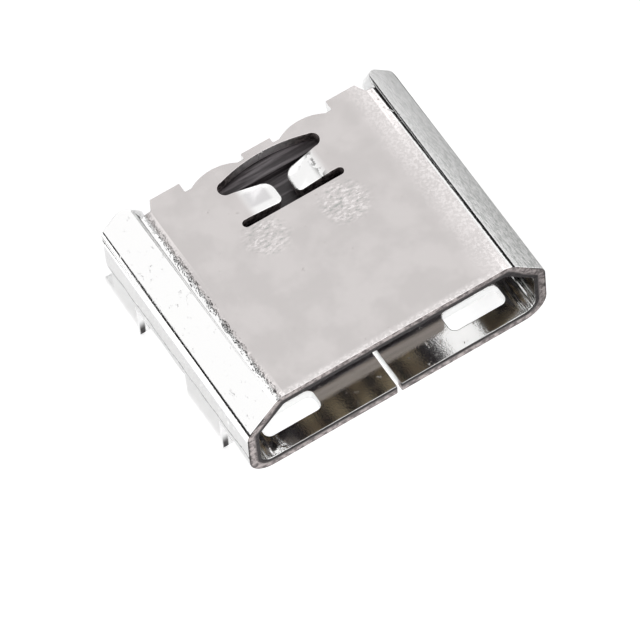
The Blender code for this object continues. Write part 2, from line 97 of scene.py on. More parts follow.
class Piece:
    """A mesh on the bench, shaped in edit mode in millimetres."""

    MERGE = 0.0005
    ALIGNED = 0.9
    LEVEL = 0.99
    FLAT_ANGLE = radians(0.4)
    SMOOTH_ANGLE = radians(32)
    SOFT_STEPS = 2
    NORMAL_WEIGHT = 80

    def __init__(self, name: str, place: Vector, size: Vector | None = None) -> None:
        """Start from a primitive: a cube of a size, or one point.

        Args:
            name: The piece's name.
            place: The primitive's centre.
            size: The cube's size. Without one, a small plane is merged to a point.
        """
        bpy.ops.object.select_all(action="DESELECT")
        if size is None:
            bpy.ops.mesh.primitive_plane_add(size=0.1, location=place)
        else:
            bpy.ops.mesh.primitive_cube_add(size=1.0, location=place, scale=size)
        self.obj = bpy.context.active_object
        self.obj.name = name
        self.obj.data.name = name
        bpy.ops.object.transform_apply(location=True, rotation=True, scale=True)
        bpy.ops.object.mode_set(mode="EDIT")
        bpy.ops.mesh.select_mode(type=Part.POINT.value)
        bpy.ops.mesh.select_all(action="SELECT")
        if size is None:
            bpy.ops.mesh.merge(type="CENTER")

    def select(self, part: Part, test: Test | None = None) -> None:
        """Select the elements that pass a test on their middle and their normal.

        Args:
            part: The kind of element.
            test: The test. Without one, all are selected.
        """
        bpy.ops.mesh.select_mode(type=part.value)
        bpy.ops.mesh.select_all(action="SELECT" if test is None else "DESELECT")
        if test is None:
            return
        work = bmesh.from_edit_mesh(self.obj.data)
        elements = {Part.POINT: work.verts, Part.EDGE: work.edges, Part.FACE: work.faces}[part]
        for element in elements:
            if test(*self.middle_and_normal(part, element)):
                element.select_set(True)
        work.select_flush_mode()
        bmesh.update_edit_mesh(self.obj.data)

    @staticmethod
    def middle_and_normal(part: Part, element: Element) -> tuple[Vector, Vector]:
        """Return the middle of an element, and its normal, or its direction if it is an edge.

        Args:
            part: The kind of element.
            element: The element.

        Returns:
            The middle and the normal or direction.
        """
        if part is Part.POINT:
            return element.co.copy(), element.normal.copy()
        if part is Part.EDGE:
            first, second = (point.co for point in element.verts)
            return (first + second) / 2, (second - first).normalized()
        return element.calc_center_median(), element.normal.copy()

    def line(self, step: Vector) -> None:
        """Draw on from the selected point in a straight run."""
        bpy.ops.mesh.extrude_vertices_move(TRANSFORM_OT_translate={"value": step})

    def bend(self, centre: Vector, angle: float, axis: Vector, steps: int) -> None:
        """Draw on in an arc about an axis by the right-hand rule, which is against the operator's own sense."""
        bpy.ops.mesh.spin(steps=steps, angle=-angle, center=centre, axis=axis)

    def extrude(self, step: Vector) -> None:
        """Pull the selected edges or faces out into new faces."""
        bpy.ops.mesh.extrude_region_move(TRANSFORM_OT_translate={"value": step})

    def fill(self) -> None:
        """Close the selected outline with a face."""
        bpy.ops.mesh.edge_face_add()

    def merge(self) -> None:
        """Weld points that lie together and turn the faces outwards."""
        self.select(Part.POINT)
        bpy.ops.mesh.remove_doubles(threshold=self.MERGE)
        bpy.ops.mesh.normals_make_consistent(inside=False)

    def delete(self, part: Part, test: Test) -> None:
        """Delete the elements that pass a test."""
        self.select(part, test)
        bpy.ops.mesh.delete(type=part.value)

    def cut(self, place: Vector, normal: Vector, test: Test | None = None, clear: bool = False) -> None:
        """Cut all faces, or those that pass a test, along a plane, and clear what lies on its normal's side."""
        self.select(Part.FACE, test)
        bpy.ops.mesh.bisect(
            plane_co=place, plane_no=normal, use_fill=False, clear_outer=clear, threshold=self.MERGE
        )

    def bevel(self, part: Part, test: Test, width: float, segments: int = 1) -> None:
        """Chamfer or round the edges that pass a test, or a sheet's corners at the points that do.

        Args:
            part: Whether edges or points are tested.
            test: The test.
            width: The chamfer's width or the rounding's radius.
            segments: How many faces go across it.
        """
        self.select(part, test)
        affect = "EDGES" if part is Part.EDGE else "VERTICES"
        bpy.ops.mesh.bevel(offset=width, offset_type="OFFSET", segments=segments, affect=affect)

    def take(self) -> None:
        """Select only this piece, and make it the active one."""
        bpy.ops.object.select_all(action="DESELECT")
        self.obj.select_set(True)
        bpy.context.view_layer.objects.active = self.obj

    def leave_edit(self) -> None:
        """Go back to object mode with only this piece selected."""
        bpy.ops.object.mode_set(mode="OBJECT")
        self.take()

    def enter_edit(self) -> None:
        """Go to edit mode on this piece."""
        self.take()
        bpy.ops.object.mode_set(mode="EDIT")

    def modify(self, kind: str, **settings: object) -> None:
        """Add a modifier and apply it. The piece is in object mode before and after.

        Args:
            kind: The modifier's type.
            settings: Its settings.
        """
        modifier = self.obj.modifiers.new(kind.lower(), kind)
        for key, value in settings.items():
            setattr(modifier, key, value)
        bpy.context.view_layer.objects.active = self.obj
        bpy.ops.object.modifier_apply(modifier=modifier.name)

    def combine(self, tool: "Piece", operation: str) -> None:
        """Cut this piece by another, or join the other to it, and take the other away.

        Args:
            tool: The other piece, in edit mode.
            operation: The Boolean operation.
        """
        tool.merge()
        tool.leave_edit()
        self.modify("BOOLEAN", object=tool.obj, operation=operation, solver="EXACT", material_mode="TRANSFER")
        bpy.data.objects.remove(tool.obj, do_unlink=True)

    def finish(self, softness: float) -> bpy.types.Object:
        """Soften the edges, shade the bends smooth and shrink the piece to metres.

        Args:
            softness: The radius of the softened edges.

        Returns:
            The finished object.
        """
        self.enter_edit()
        self.select(Part.FACE)
        bpy.ops.mesh.dissolve_limited(angle_limit=self.FLAT_ANGLE, delimit={"MATERIAL"})
        self.leave_edit()
        self.modify(
            "BEVEL", width=softness, segments=self.SOFT_STEPS, use_clamp_overlap=False,
            limit_method="ANGLE", angle_limit=self.SMOOTH_ANGLE,
        )
        self.enter_edit()
        self.merge()
        self.leave_edit()
        self.obj.scale = (MM, MM, MM)
        bpy.ops.object.transform_apply(location=True, rotation=True, scale=True)
        bpy.ops.object.shade_smooth_by_angle(angle=self.SMOOTH_ANGLE)
        self.modify("WEIGHTED_NORMAL", keep_sharp=True, weight=self.NORMAL_WEIGHT)
        return self.obj


def near(first: float, second: float) -> bool:
    """Tell whether two lengths are equal."""
    return abs(first - second) < Piece.MERGE


class Outline(Piece):
    """An outline that cuts the sheet. It is drawn as for the right half, and comes out mirrored on the left."""

    def __init__(self, name: str, side: float, place: Vector) -> None:
        """Start with one point.

        Args:
            name: The cutter's name.
            side: 1 for the right half and -1 for the left.
            place: Where the point lies on the right half.
        """
        self.side = side
        super().__init__(name, self.mirrored(place))

    def mirrored(self, vector: Vector) -> Vector:
        """Turn a place or a way on the right half into one on this half."""
        return Vector((self.side * vector.x, vector.y, vector.z))

    def line(self, step: Vector) -> None:
        """Draw on from the selected point in a straight run."""
        super().line(self.mirrored(step))

    def bend(self, centre: Vector, angle: float, axis: Vector, steps: int) -> None:
        """Draw on from the selected point in an arc."""
        super().bend(self.mirrored(centre), self.side * angle, self.mirrored(axis), steps)

    def extrude(self, step: Vector) -> None:
        """Pull the selected face through the sheet."""
        super().extrude(self.mirrored(step))


class Value:
    """A number from a shader node, for sums written as plain expressions."""

    def __init__(self, canvas: "Canvas", socket: bpy.types.NodeSocket) -> None:
        """Wrap a socket of a canvas."""
        self.canvas = canvas
        self.socket = socket

    def math(self, operation: str, *operands: "Value | float") -> "Value":
        """Add a Math node on these operands.

        Args:
            operation: The node's operation.
            operands: Sockets or numbers, in order.

        Returns:
            The node's result.
        """
        inputs = {index: operand for index, operand in enumerate(operands)}
        node = self.canvas.node("ShaderNodeMath", {"operation": operation}, inputs)
        return Value(self.canvas, node.outputs[0])

    def __add__(self, other: "Value | float") -> "Value":
        """Add."""
        return self.math("ADD", self, other)

    __radd__ = __add__

    def __sub__(self, other: "Value | float") -> "Value":
        """Subtract."""
        return self.math("SUBTRACT", self, other)

    def __rsub__(self, other: float) -> "Value":
        """Subtract from a number."""
        return self.math("SUBTRACT", other, self)

    def __mul__(self, other: "Value | float") -> "Value":
        """Multiply."""
        return self.math("MULTIPLY", self, other)

    __rmul__ = __mul__

    def __abs__(self) -> "Value":
        """Drop the sign."""
        return self.math("ABSOLUTE", self)

    def root(self) -> "Value":
        """Take the square root."""
        return self.math("SQRT", self)

    def below(self, other: "Value | float") -> "Value":
        """Give 1 where this is less than the other."""
        return self.math("LESS_THAN", self, other)

    def least(self, other: "Value | float") -> "Value":
        """Give the smaller of the two."""
        return self.math("MINIMUM", self, other)

    def most(self, other: "Value | float") -> "Value":
        """Give the larger of the two."""
        return self.math("MAXIMUM", self, other)

    def ramp(self, low: float, high: float) -> "Value":
        """Go smoothly from 0 to 1 as this goes from low to high, or down if high is the smaller.

        Args:
            low: Where the result is 0.
            high: Where the result is 1.

        Returns:
            The result.
        """
        inputs = {"Value": self, "From Min": low, "From Max": high}
        node = self.canvas.node("ShaderNodeMapRange", {"interpolation_type": "SMOOTHSTEP"}, inputs)
        return Value(self.canvas, node.outputs["Result"])

    def span(self, start: float, full: float, still: float, end: float) -> "Value":
        """Rise smoothly from 0 at start to 1 at full, and fall from 1 at still to 0 at end."""
        return self.ramp(start, full) * self.ramp(end, still)


@dataclass(frozen=True)
class Pattern:
    """A noise pattern: features in a millimetre, octaves, their strength, and the levels it shows at."""

    scale: float
    detail: float = 2.0
    roughness: float = 0.5
    shown: Range = (0.0, 1.0)
    stretch: Triple = (1.0, 1.0, 1.0)
    turn: float = 0.0


class Canvas:
    """The node tree of one material or of the world."""

    def __init__(self, tree: bpy.types.NodeTree) -> None:
        """Start with an empty tree."""
        self.tree = tree
        tree.nodes.clear()

    def node(self, kind: str, settings: dict | None = None, inputs: dict | None = None) -> bpy.types.Node:
        """Add a node.

        Args:
            kind: The node's type.
            settings: Its properties. They are set first.
            inputs: Values or links for its sockets, by name or number.

        Returns:
            The node.
        """
        node = self.tree.nodes.new(kind)
        for key, value in (settings or {}).items():
            setattr(node, key, value)
        for key, value in (inputs or {}).items():
            socket = node.inputs[key]
            if isinstance(value, Value):
                value = value.socket
            if isinstance(value, bpy.types.NodeSocket):
                self.tree.links.new(value, socket)
            else:
                socket.default_value = value
        return node

    def place(self, scale: Triple = (1.0, 1.0, 1.0), turn: float = 0.0) -> NodeSocket:
        """Give the place on the object in millimetres, scaled and turned for a pattern.

        Args:
            scale: The pattern's scale along each direction.
            turn: The pattern's turn about the upright.

        Returns:
            The vector socket.
        """
        source = self.node("ShaderNodeTexCoord").outputs["Object"]
        inputs = {"Vector": source, "Scale": Vector(scale) / MM, "Rotation": (0.0, 0.0, turn)}
        return self.node("ShaderNodeMapping", None, inputs).outputs["Vector"]

    def axes(self) -> tuple[Value, Value, Value]:
        """Give the place on the object in millimetres as three numbers."""
        parts = self.node("ShaderNodeSeparateXYZ", None, {"Vector": self.place()})
        return tuple(Value(self, parts.outputs[name]) for name in ("X", "Y", "Z"))

    def path(self, name: str) -> Value:
        """Give 1 for the rays of a kind, such as Is Camera Ray."""
        return Value(self, self.node("ShaderNodeLightPath").outputs[name])

    def noise(self, pattern: Pattern) -> Value:
        """Add a noise pattern, whose level is around 0.5."""
        inputs = {
            "Vector": self.place(pattern.stretch, pattern.turn), "Scale": pattern.scale,
            "Detail": pattern.detail, "Roughness": pattern.roughness,
        }
        return Value(self, self.node("ShaderNodeTexNoise", None, inputs).outputs["Fac"])

    def cover(self, pattern: Pattern) -> Value:
        """Give how far a pattern shows, from 0 to 1."""
        return self.noise(pattern).ramp(*pattern.shown)

    def mix(self, factor: Value, first: object, second: object) -> NodeSocket:
        """Mix two colours, each a colour or a socket, by a factor of 0 for the first and 1 for the second."""
        node = self.node("ShaderNodeMix", {"data_type": "RGBA"}, {0: factor, 6: first, 7: second})
        return node.outputs[2]

    def bump(self, height: Value, depth: float, normal: NodeSocket | None = None) -> NodeSocket:
        """Turn a height into a normal.

        Args:
            height: The height, from 0 to 1.
            depth: The depth in millimetres that 1 stands for.
            normal: The normal of another bump below this one.

        Returns:
            The normal.
        """
        inputs = {"Height": height, "Distance": depth * MM}
        if normal is not None:
            inputs["Normal"] = normal
        return self.node("ShaderNodeBump", None, inputs).outputs["Normal"]

    def surface(self, shader: NodeSocket) -> None:
        """Send a shader to the material's output."""
        self.node("ShaderNodeOutputMaterial", None, {"Surface": shader})

    def principled(self, **inputs: object) -> None:
        """Send a Principled shader with these inputs to the output, their names written with underscores."""
        named = {key.replace("_", " ").title(): value for key, value in inputs.items()}
        self.surface(self.node("ShaderNodeBsdfPrincipled", None, named).outputs["BSDF"])


def new_material(name: str) -> tuple[bpy.types.Material, Canvas]:
    """Make an empty material.

    Args:
        name: The material's name.

    Returns:
        The material, and the canvas of its nodes.
    """
    material = bpy.data.materials.new(name)
    material.use_nodes = True
    return material, Canvas(material.node_tree)


def grey(level: float, warmth: float = 0.0) -> Colour:
    """Make a grey of some brightness, with red raised and blue lowered by its warmth."""
    return (level + warmth, level, level - warmth, 1.0)


@dataclass(frozen=True)
class ScratchedPatch:
    """A round patch of fine scratches on the top panel, some light and some deep."""

    place: Range
    radius: float
    strength: float
    turn: float
    solid: float = 0.4
    light: Range = (0.5, 0.62)
    deep: Range = (0.46, 0.36)

    @property
    def strokes(self) -> Pattern:
        """The pattern of the scratches."""
        return Pattern(7.0, 4.0, 0.75, stretch=(1.0, 2.2, 1.0), turn=self.turn)

    def cover(self, across: Value, back: Value) -> Value:
        """Give how far the patch covers a place, from 0 to its strength.

        Args:
            across: The place across the socket.
            back: The place along it.

        Returns:
            The cover.
        """
        beside = across - self.place[0]
        behind = back - self.place[1]
        distance = (beside * beside + behind * behind).root()
        return self.strength * distance.ramp(self.radius, self.solid * self.radius)


@dataclass(frozen=True)
class PlatedSteel:
    """Tin-plated sheet: bright all round but for the top panel, which is a little rougher and painted darker as
    painted shade; with a faint mottle, fine specks, wear, painted edge highlights and painted shade marks.
    """

    name: str = "plated_steel"
    bright: Colour = grey(0.93, 0.003)
    # The top panel's greys, darker than the bright sheet round it: painted shade.
    light: Colour = (0.68, 0.645, 0.638, 1.0)
    dark: Colour = (0.622, 0.59, 0.583, 1.0)
    speck: Colour = (0.54, 0.505, 0.495, 1.0)
    # Light colour of the painted edge highlights and of the light scratch strokes.
    burnish_and_highlight: Colour = (0.9, 0.86, 0.855, 1.0)
    tarnish: Colour = (0.4, 0.42, 0.4, 1.0)
    # Colour of the painted shade line along the left wall.
    wall_shade_line: Colour = grey(0.3)
    # Grey of the painted shade in the middle of the left anchor tongue.
    tongue_shade: Colour = (0.66, 0.645, 0.655, 1.0)
    tongue_chipped: Colour = grey(0.1)
    mottle: Pattern = Pattern(1.3, 3.0, shown=(0.35, 0.65))
    grain: Pattern = Pattern(22.0, 3.0, 0.6)
    specks: Pattern = Pattern(5.5, 4.0, 0.7, (0.62, 0.75))
    patchiness: Pattern = Pattern(13.0, 4.0, 0.7, (0.42, 0.62))
    worn: Pattern = Pattern(16.0, 4.0, 0.7, (0.38, 0.66), (1.0, 0.35, 1.0))
    chips: Pattern = Pattern(7.0, 3.0, 0.6, (0.47, 0.52))
    ragged: Pattern = Pattern(5.0, 3.0, 0.6)
    # Where the top panel lies: a little rougher, and painted a darker grey as painted shade.
    satin_and_shade_side: Range = (2.89, 2.85)
    satin_and_shade_level: Range = (2.97, 3.0)
    # Where the painted highlight runs along the top panel's right edge and front lip.
    highlight_side: Range = (2.1, 2.85)
    highlight_lip: Range = (-2.86, -3.0)
    even_highlight: float = 0.35
    worn_side: Range = (3.03, 3.1)
    worn_length: Range = (3.0, -3.0)
    worn_all_along: float = 0.6
    worn_strength: float = 0.5
    left_wall: float = -3.7
    # Height, width and break-up of the painted shade line on the left wall.
    wall_shade_height: float = 1.55
    wall_shade_width: Range = (0.07, 0.02)
    wall_shade_waver: float = 0.25
    wall_shade_least: float = 0.4
    tongue_root: Range = (1.04, 0.79)
    tongue_span: Span = (1.06, 1.1, 1.84, 1.88)
    # Where the painted shade on the left anchor tongue lies.
    shaded_tongue_side: Range = (-0.3, -0.42)
    shaded_tongue_span: Span = (1.22, 1.32, 1.62, 1.72)
    shaded_tongue_strength: float = 0.8
    chipped_root: Range = (0.68, 0.86)
    chipped_strength: float = 0.85
    ragged_span: Span = (-2.98, -2.93, -2.82, -2.74)
    clean_roughness: float = 0.06
    dull_roughness: float = 0.07
    roughness_swing: float = 0.1
    speck_roughness: float = 0.12
    grain_depth: float = 0.0016
    speck_depth: float = 0.004
    ragged_depth: float = 0.035
    patches: tuple[ScratchedPatch, ...] = (
        ScratchedPatch((0.85, 0.3), 0.7, 0.95, radians(35)),
        ScratchedPatch((-0.98, 0.5), 0.65, 0.8, radians(-20)),
    )

    def make(self) -> bpy.types.Material:
        """Build the material."""
        material, canvas = new_material(self.name)
        across, back, up = canvas.axes()
        tongues = abs(across).ramp(*self.tongue_root) * back.span(*self.tongue_span)
        # Painted shade: the top panel, but not its tongues, is coloured a darker grey than the rest of the
        # sheet and made a little rougher. The bends beyond it keep the bright colour and show as highlights.
        satin_and_shade = abs(across).ramp(*self.satin_and_shade_side) * up.ramp(*self.satin_and_shade_level)
        grain = canvas.noise(self.grain)
        specks = canvas.cover(self.specks)
        rough = self.dull_roughness + self.roughness_swing * (grain - 0.5) + self.speck_roughness * specks
        ragged = (canvas.noise(self.ragged) - 0.5) * across.span(*self.ragged_span)
        low = canvas.bump(specks, -self.speck_depth, canvas.bump(ragged, self.ragged_depth))
        bright = self.bright_colour(canvas, (across, back, up), tongues)
        canvas.principled(
            base_color=canvas.mix(satin_and_shade * (1.0 - tongues), bright, self.top_colour(canvas, across, back)),
            metallic=1.0,
            roughness=self.clean_roughness + satin_and_shade * rough,
            normal=canvas.bump(grain, self.grain_depth, low),
        )
        return material

    def top_colour(self, canvas: Canvas, across: Value, back: Value) -> NodeSocket:
        """Mix the colour of the top panel, painted darker as painted shade, with its specks, a painted
        highlight along its right and front edges, and scratched patches.

        Args:
            canvas: The material's canvas.
            across: The place across the socket.
            back: The place along it.

        Returns:
            The colour.
        """
        base = canvas.mix(canvas.cover(self.mottle), self.dark, self.light)
        base = canvas.mix(canvas.cover(self.specks), base, self.speck)
        # Painted highlight: a patchy light band along the right edge and the front lip of the top panel.
        edges = across.ramp(*self.highlight_side).most(back.ramp(*self.highlight_lip))
        patchiness = self.even_highlight + (1.0 - self.even_highlight) * canvas.cover(self.patchiness)
        base = canvas.mix(edges * patchiness, base, self.burnish_and_highlight)
        for patch in self.patches:
            scratched = patch.cover(across, back)
            strokes = canvas.noise(patch.strokes)
            base = canvas.mix(scratched * strokes.ramp(*patch.light), base, self.burnish_and_highlight)
            base = canvas.mix(scratched * strokes.ramp(*patch.deep), base, self.tarnish)
        return base

    def bright_colour(self, canvas: Canvas, axes: tuple[Value, Value, Value], tongues: Value) -> NodeSocket:
        """Mix the colour of the bright walls, shoulders and anchor tongues, with their wear, a painted shade
        line on the left wall and painted shade on the left tongue.

        Args:
            canvas: The material's canvas.
            axes: The place on the object.
            tongues: Where the anchor tongues are.

        Returns:
            The colour.
        """
        across, back, up = axes
        tarnished = across.ramp(*self.worn_side) * canvas.cover(self.worn)
        tarnished = tarnished * (back.ramp(*self.worn_length) + self.worn_all_along)
        base = canvas.mix(self.worn_strength * tarnished, self.bright, self.tarnish)
        # Painted shade: a thin, broken dark line along the outer face of the left wall, 1.55 mm up.
        waver = self.wall_shade_waver * (canvas.noise(self.mottle) - 0.5)
        wall_shade_line = abs(up - self.wall_shade_height + waver).ramp(*self.wall_shade_width) * across.below(self.left_wall)
        broken = self.wall_shade_least + (1.0 - self.wall_shade_least) * canvas.cover(self.patchiness)
        base = canvas.mix(wall_shade_line * broken, base, self.wall_shade_line)
        # Painted shade: the middle of the left anchor tongue is coloured grey, close to the top panel's grey.
        shaded_tongue_middle = tongues * across.ramp(*self.shaded_tongue_side) * back.span(*self.shaded_tongue_span)
        base = canvas.mix(self.shaded_tongue_strength * shaded_tongue_middle, base, self.tongue_shade)
        chips = canvas.cover(self.chips) * tongues * across.ramp(*self.chipped_root)
        return canvas.mix(self.chipped_strength * chips, base, self.tongue_chipped)


@dataclass(frozen=True)
class BlackMoulding:
    """Glass-filled black moulding, with flow streaks across its width, a fine matt grain, and painted light on
    the tongue's front face.
    """

    name: str = "black_moulding"
    base: Colour = (0.045, 0.038, 0.041, 1.0)
    streak: Colour = (0.2, 0.18, 0.19, 1.0)
    # Colour of the painted light on the tongue's front face.
    front_face_light: Colour = (0.3, 0.255, 0.22, 1.0)
    streaks: Pattern = Pattern(1.2, 3.0, 0.6, (0.45, 0.7), (0.5, 7.0, 7.0))
    grain: Pattern = Pattern(30.0)
    # Where the painted light lies: the tongue's front face, above its underside.
    lit_front_place: Range = (-1.7, -1.8)
    lit_front_level: Range = (1.41, 1.44)
    lit_front_streaks: Range = (0.3, 0.6)
    lit_front_least: float = 0.6
    roughness: float = 0.42
    roughness_swing: float = 0.2
    grain_depth: float = 0.002
    streak_depth: float = 0.02

    def make(self) -> bpy.types.Material:
        """Build the material."""
        material, canvas = new_material(self.name)
        streaks = canvas.noise(self.streaks)
        grain = canvas.noise(self.grain)
        base = canvas.mix(streaks.ramp(*self.streaks.shown), self.base, self.streak)
        _across, back, up = canvas.axes()
        # Painted light: the tongue's front face is coloured a lighter, streaked brown, as though lit from the
        # front.
        lit_front = back.ramp(*self.lit_front_place) * up.ramp(*self.lit_front_level)
        lit_front = lit_front * (self.lit_front_least + (1.0 - self.lit_front_least) * streaks.ramp(*self.lit_front_streaks))
        canvas.principled(
            base_color=canvas.mix(lit_front, base, self.front_face_light),
            roughness=self.roughness + self.roughness_swing * (grain - 0.5),
            normal=canvas.bump(grain, self.grain_depth, canvas.bump(streaks, self.streak_depth)),
        )
        return material


@dataclass(frozen=True)
class GoldPlating:
    """Gold over nickel on the contacts, turning to grey tin on the feet behind the block."""

    name: str = "gold_plating"
    gold: Colour = (0.95, 0.8, 0.55, 1.0)
    worn: Colour = (0.52, 0.41, 0.28, 1.0)
    tin: Colour = grey(0.6, 0.01)
    rolling: Pattern = Pattern(2.0, 3.0, stretch=(8.0, 0.6, 8.0))
    grain: Pattern = Pattern(14.0, 3.0)
    patches: Pattern = Pattern(1.1, shown=(0.44, 0.56))
    patch_grain: float = 0.2
    tin_span: Range = (2.3, 2.5)
    tin_grain: float = 0.3
    metal: float = 0.35
    roughness: float = 0.24
    roughness_swing: float = 0.15
    rolling_depth: float = 0.003

    def make(self) -> bpy.types.Material:
        """Build the material."""
        material, canvas = new_material(self.name)
        grain = canvas.noise(self.grain)
        _across, back, _up = canvas.axes()
        patches = (canvas.noise(self.patches) + self.patch_grain * (grain - 0.5)).ramp(*self.patches.shown)
        plated = canvas.mix(patches, self.gold, self.worn)
        canvas.principled(
            base_color=canvas.mix((back + self.tin_grain * grain).ramp(*self.tin_span), plated, self.tin),
            metallic=self.metal,
            roughness=self.roughness + self.roughness_swing * grain,
            normal=canvas.bump(canvas.noise(self.rolling), self.rolling_depth),
        )
        return material


@dataclass(frozen=True)
class Section:
    """The shell's cross-section on one side of its middle, from the top panel round to the seam.

    It follows the outer face of the sheet. A line that starts below the top runs as far inside it all round.
    """

    width: float
    height: float
    board: float
    top_width: float = 5.8
    shoulder_drop: float = 0.87
    upper_radius: float = 0.45
    lower_radius: float = 0.6
    upper_steps: int = 16
    lower_steps: int = 14

    @property
    def shoulder(self) -> float:
        """The shoulder's slope."""
        return atan2(self.shoulder_drop, (self.width - self.top_width) / 2)

    @property
    def side_turn(self) -> float:
        """The turn from the shoulder to the side wall."""
        return pi / 2 - self.shoulder

    @property
    def top_end(self) -> float:
        """Where the top panel ends and the upper bend starts."""
        return self.top_width / 2 - self.upper_radius * tan(self.shoulder / 2)

    @property
    def top(self) -> float:
        """The height of the outer face of the top panel."""
        return self.board + self.height

    @property
    def upper_centre(self) -> Vector:
        """The centre of the upper bend."""
        return Vector((self.top_end, 0.0, self.top - self.upper_radius))

    @property
    def flat(self) -> float:
        """The length of the shoulder's flat between its bends."""
        slope = hypot(self.shoulder_drop, (self.width - self.top_width) / 2)
        return slope - self.upper_radius * (tan(self.shoulder / 2) + tan(self.side_turn / 2))

    @property
    def side_bend_level(self) -> float:
        """The height at which the shoulder starts to bend into the side wall, on the outer face."""
        return self.on_upper_bend(self.shoulder).z - self.flat * sin(self.shoulder)

    @property
    def lower_bend_level(self) -> float:
        """The height at which the side wall starts to bend under."""
        return self.board + self.lower_radius

    def on_upper_bend(self, turn: float) -> Vector:
        """Return the place on the upper bend's outer face after some turn from the top panel."""
        return self.upper_centre + self.upper_radius * Vector((sin(turn), 0.0, cos(turn)))

    def draw(self, piece: Piece, end: float) -> None:
        """Draw the section on from the selected point, which lies on the middle line near the top.

        Args:
            piece: The piece to draw in.
            end: How far from the middle the bottom ends.
        """
        back = Axis.BACK.vector
        flat = self.flat * Vector((cos(self.shoulder), 0.0, -sin(self.shoulder)))
        side = self.upper_centre + flat
        lower = Vector((self.width / 2 - self.lower_radius, 0.0, self.lower_bend_level))
        piece.line(Axis.ACROSS.by(self.top_end))
        piece.bend(self.upper_centre, self.shoulder, back, self.upper_steps)
        piece.line(flat)
        piece.bend(side, self.side_turn, back, self.upper_steps)
        piece.line(Axis.UP.by(self.lower_bend_level - side.z))
        piece.bend(lower, pi / 2, back, self.lower_steps)
        piece.line(Axis.ACROSS.by(end - lower.x))


@dataclass(frozen=True)
class ShearedEdge:
    """The sheared edge of the sheet: a light band between dark lines, with tear marks of the punch."""

    section: Section
    mouth: float
    name: str = "sheared_edge"
    light: Colour = (0.5, 0.45, 0.44, 1.0)
    dark: Colour = (0.14, 0.12, 0.12, 1.0)
    line: Colour = (0.03, 0.026, 0.027, 1.0)
    # Bright colour of the burnished cut edges of the legs and at the back.
    burnish_and_highlight: Colour = grey(0.9)
    tears: Pattern = Pattern(9.0, 4.0, 0.65, (0.38, 0.62))
    wander: float = 0.12
    outer_line: Range = (0.07, 0.0)
    inner_line: Range = (0.165, 0.225)
    upper_line: float = 0.05
    upper_level: Range = (2.6, 3.0)
    rim_depth: float = 0.04
    legs_from: Range = (0.1, 0.2)
    back_edges: Range = (2.2, 2.4)
    # Place, width and height of a dark line on the legs' cut faces.
    leg_dark_line_place: float = 3.64
    leg_dark_line_width: Range = (0.085, 0.045)
    leg_dark_line_top: Range = (0.7, 0.3)
    roughness: float = 0.38
    roughness_swing: float = 0.15
    tear_depth: float = 0.02

    def make(self) -> bpy.types.Material:
        """Build the material."""
        material, canvas = new_material(self.name)
        tears = canvas.noise(self.tears)
        across, back, up = canvas.axes()
        behind_rim = back - self.mouth
        base = canvas.mix(tears.ramp(*self.tears.shown), self.dark, self.light)
        within = self.depth_of_sheet(across, up) + self.wander * (tears - 0.5)
        within = within + self.upper_line * up.ramp(*self.upper_level)
        lines = within.ramp(*self.outer_line).most(within.ramp(*self.inner_line))
        legs = up.below(self.section.lower_bend_level) * behind_rim.ramp(*self.legs_from)
        base = canvas.mix(lines * behind_rim.below(self.rim_depth), base, self.line)
        base = canvas.mix(legs.most(back.ramp(*self.back_edges)), base, self.burnish_and_highlight)
        # A dark line down the legs' cut faces near their outer side, fading out towards the top.
        leg_dark_line = abs(abs(across) - self.leg_dark_line_place).ramp(*self.leg_dark_line_width)
        canvas.principled(
            base_color=canvas.mix(legs * leg_dark_line * up.ramp(*self.leg_dark_line_top), base, self.line),
            metallic=1.0,
            roughness=self.roughness + self.roughness_swing * tears,
            normal=canvas.bump(tears, self.tear_depth),
        )
        return material

    def depth_of_sheet(self, across: Value, up: Value) -> Value:
        """Give the depth below the outer face of the shell.

        Args:
            across: The place across the socket.
            up: The height.

        Returns:
            The depth, in millimetres.
        """
        section = self.section
        radius = section.lower_radius
        beside = abs(across) - (section.width / 2 - radius)
        below = section.board + radius - up
        corner_x = beside.most(0.0)
        corner_z = below.most(0.0)
        box = (corner_x * corner_x + corner_z * corner_z).root() + beside.most(below).least(0.0) - radius
        slope = (abs(across) - section.top_width / 2) * sin(section.shoulder)
        slope = slope + (up - section.top) * cos(section.shoulder)
        return 0.0 - box.most(up - section.top).most(slope)


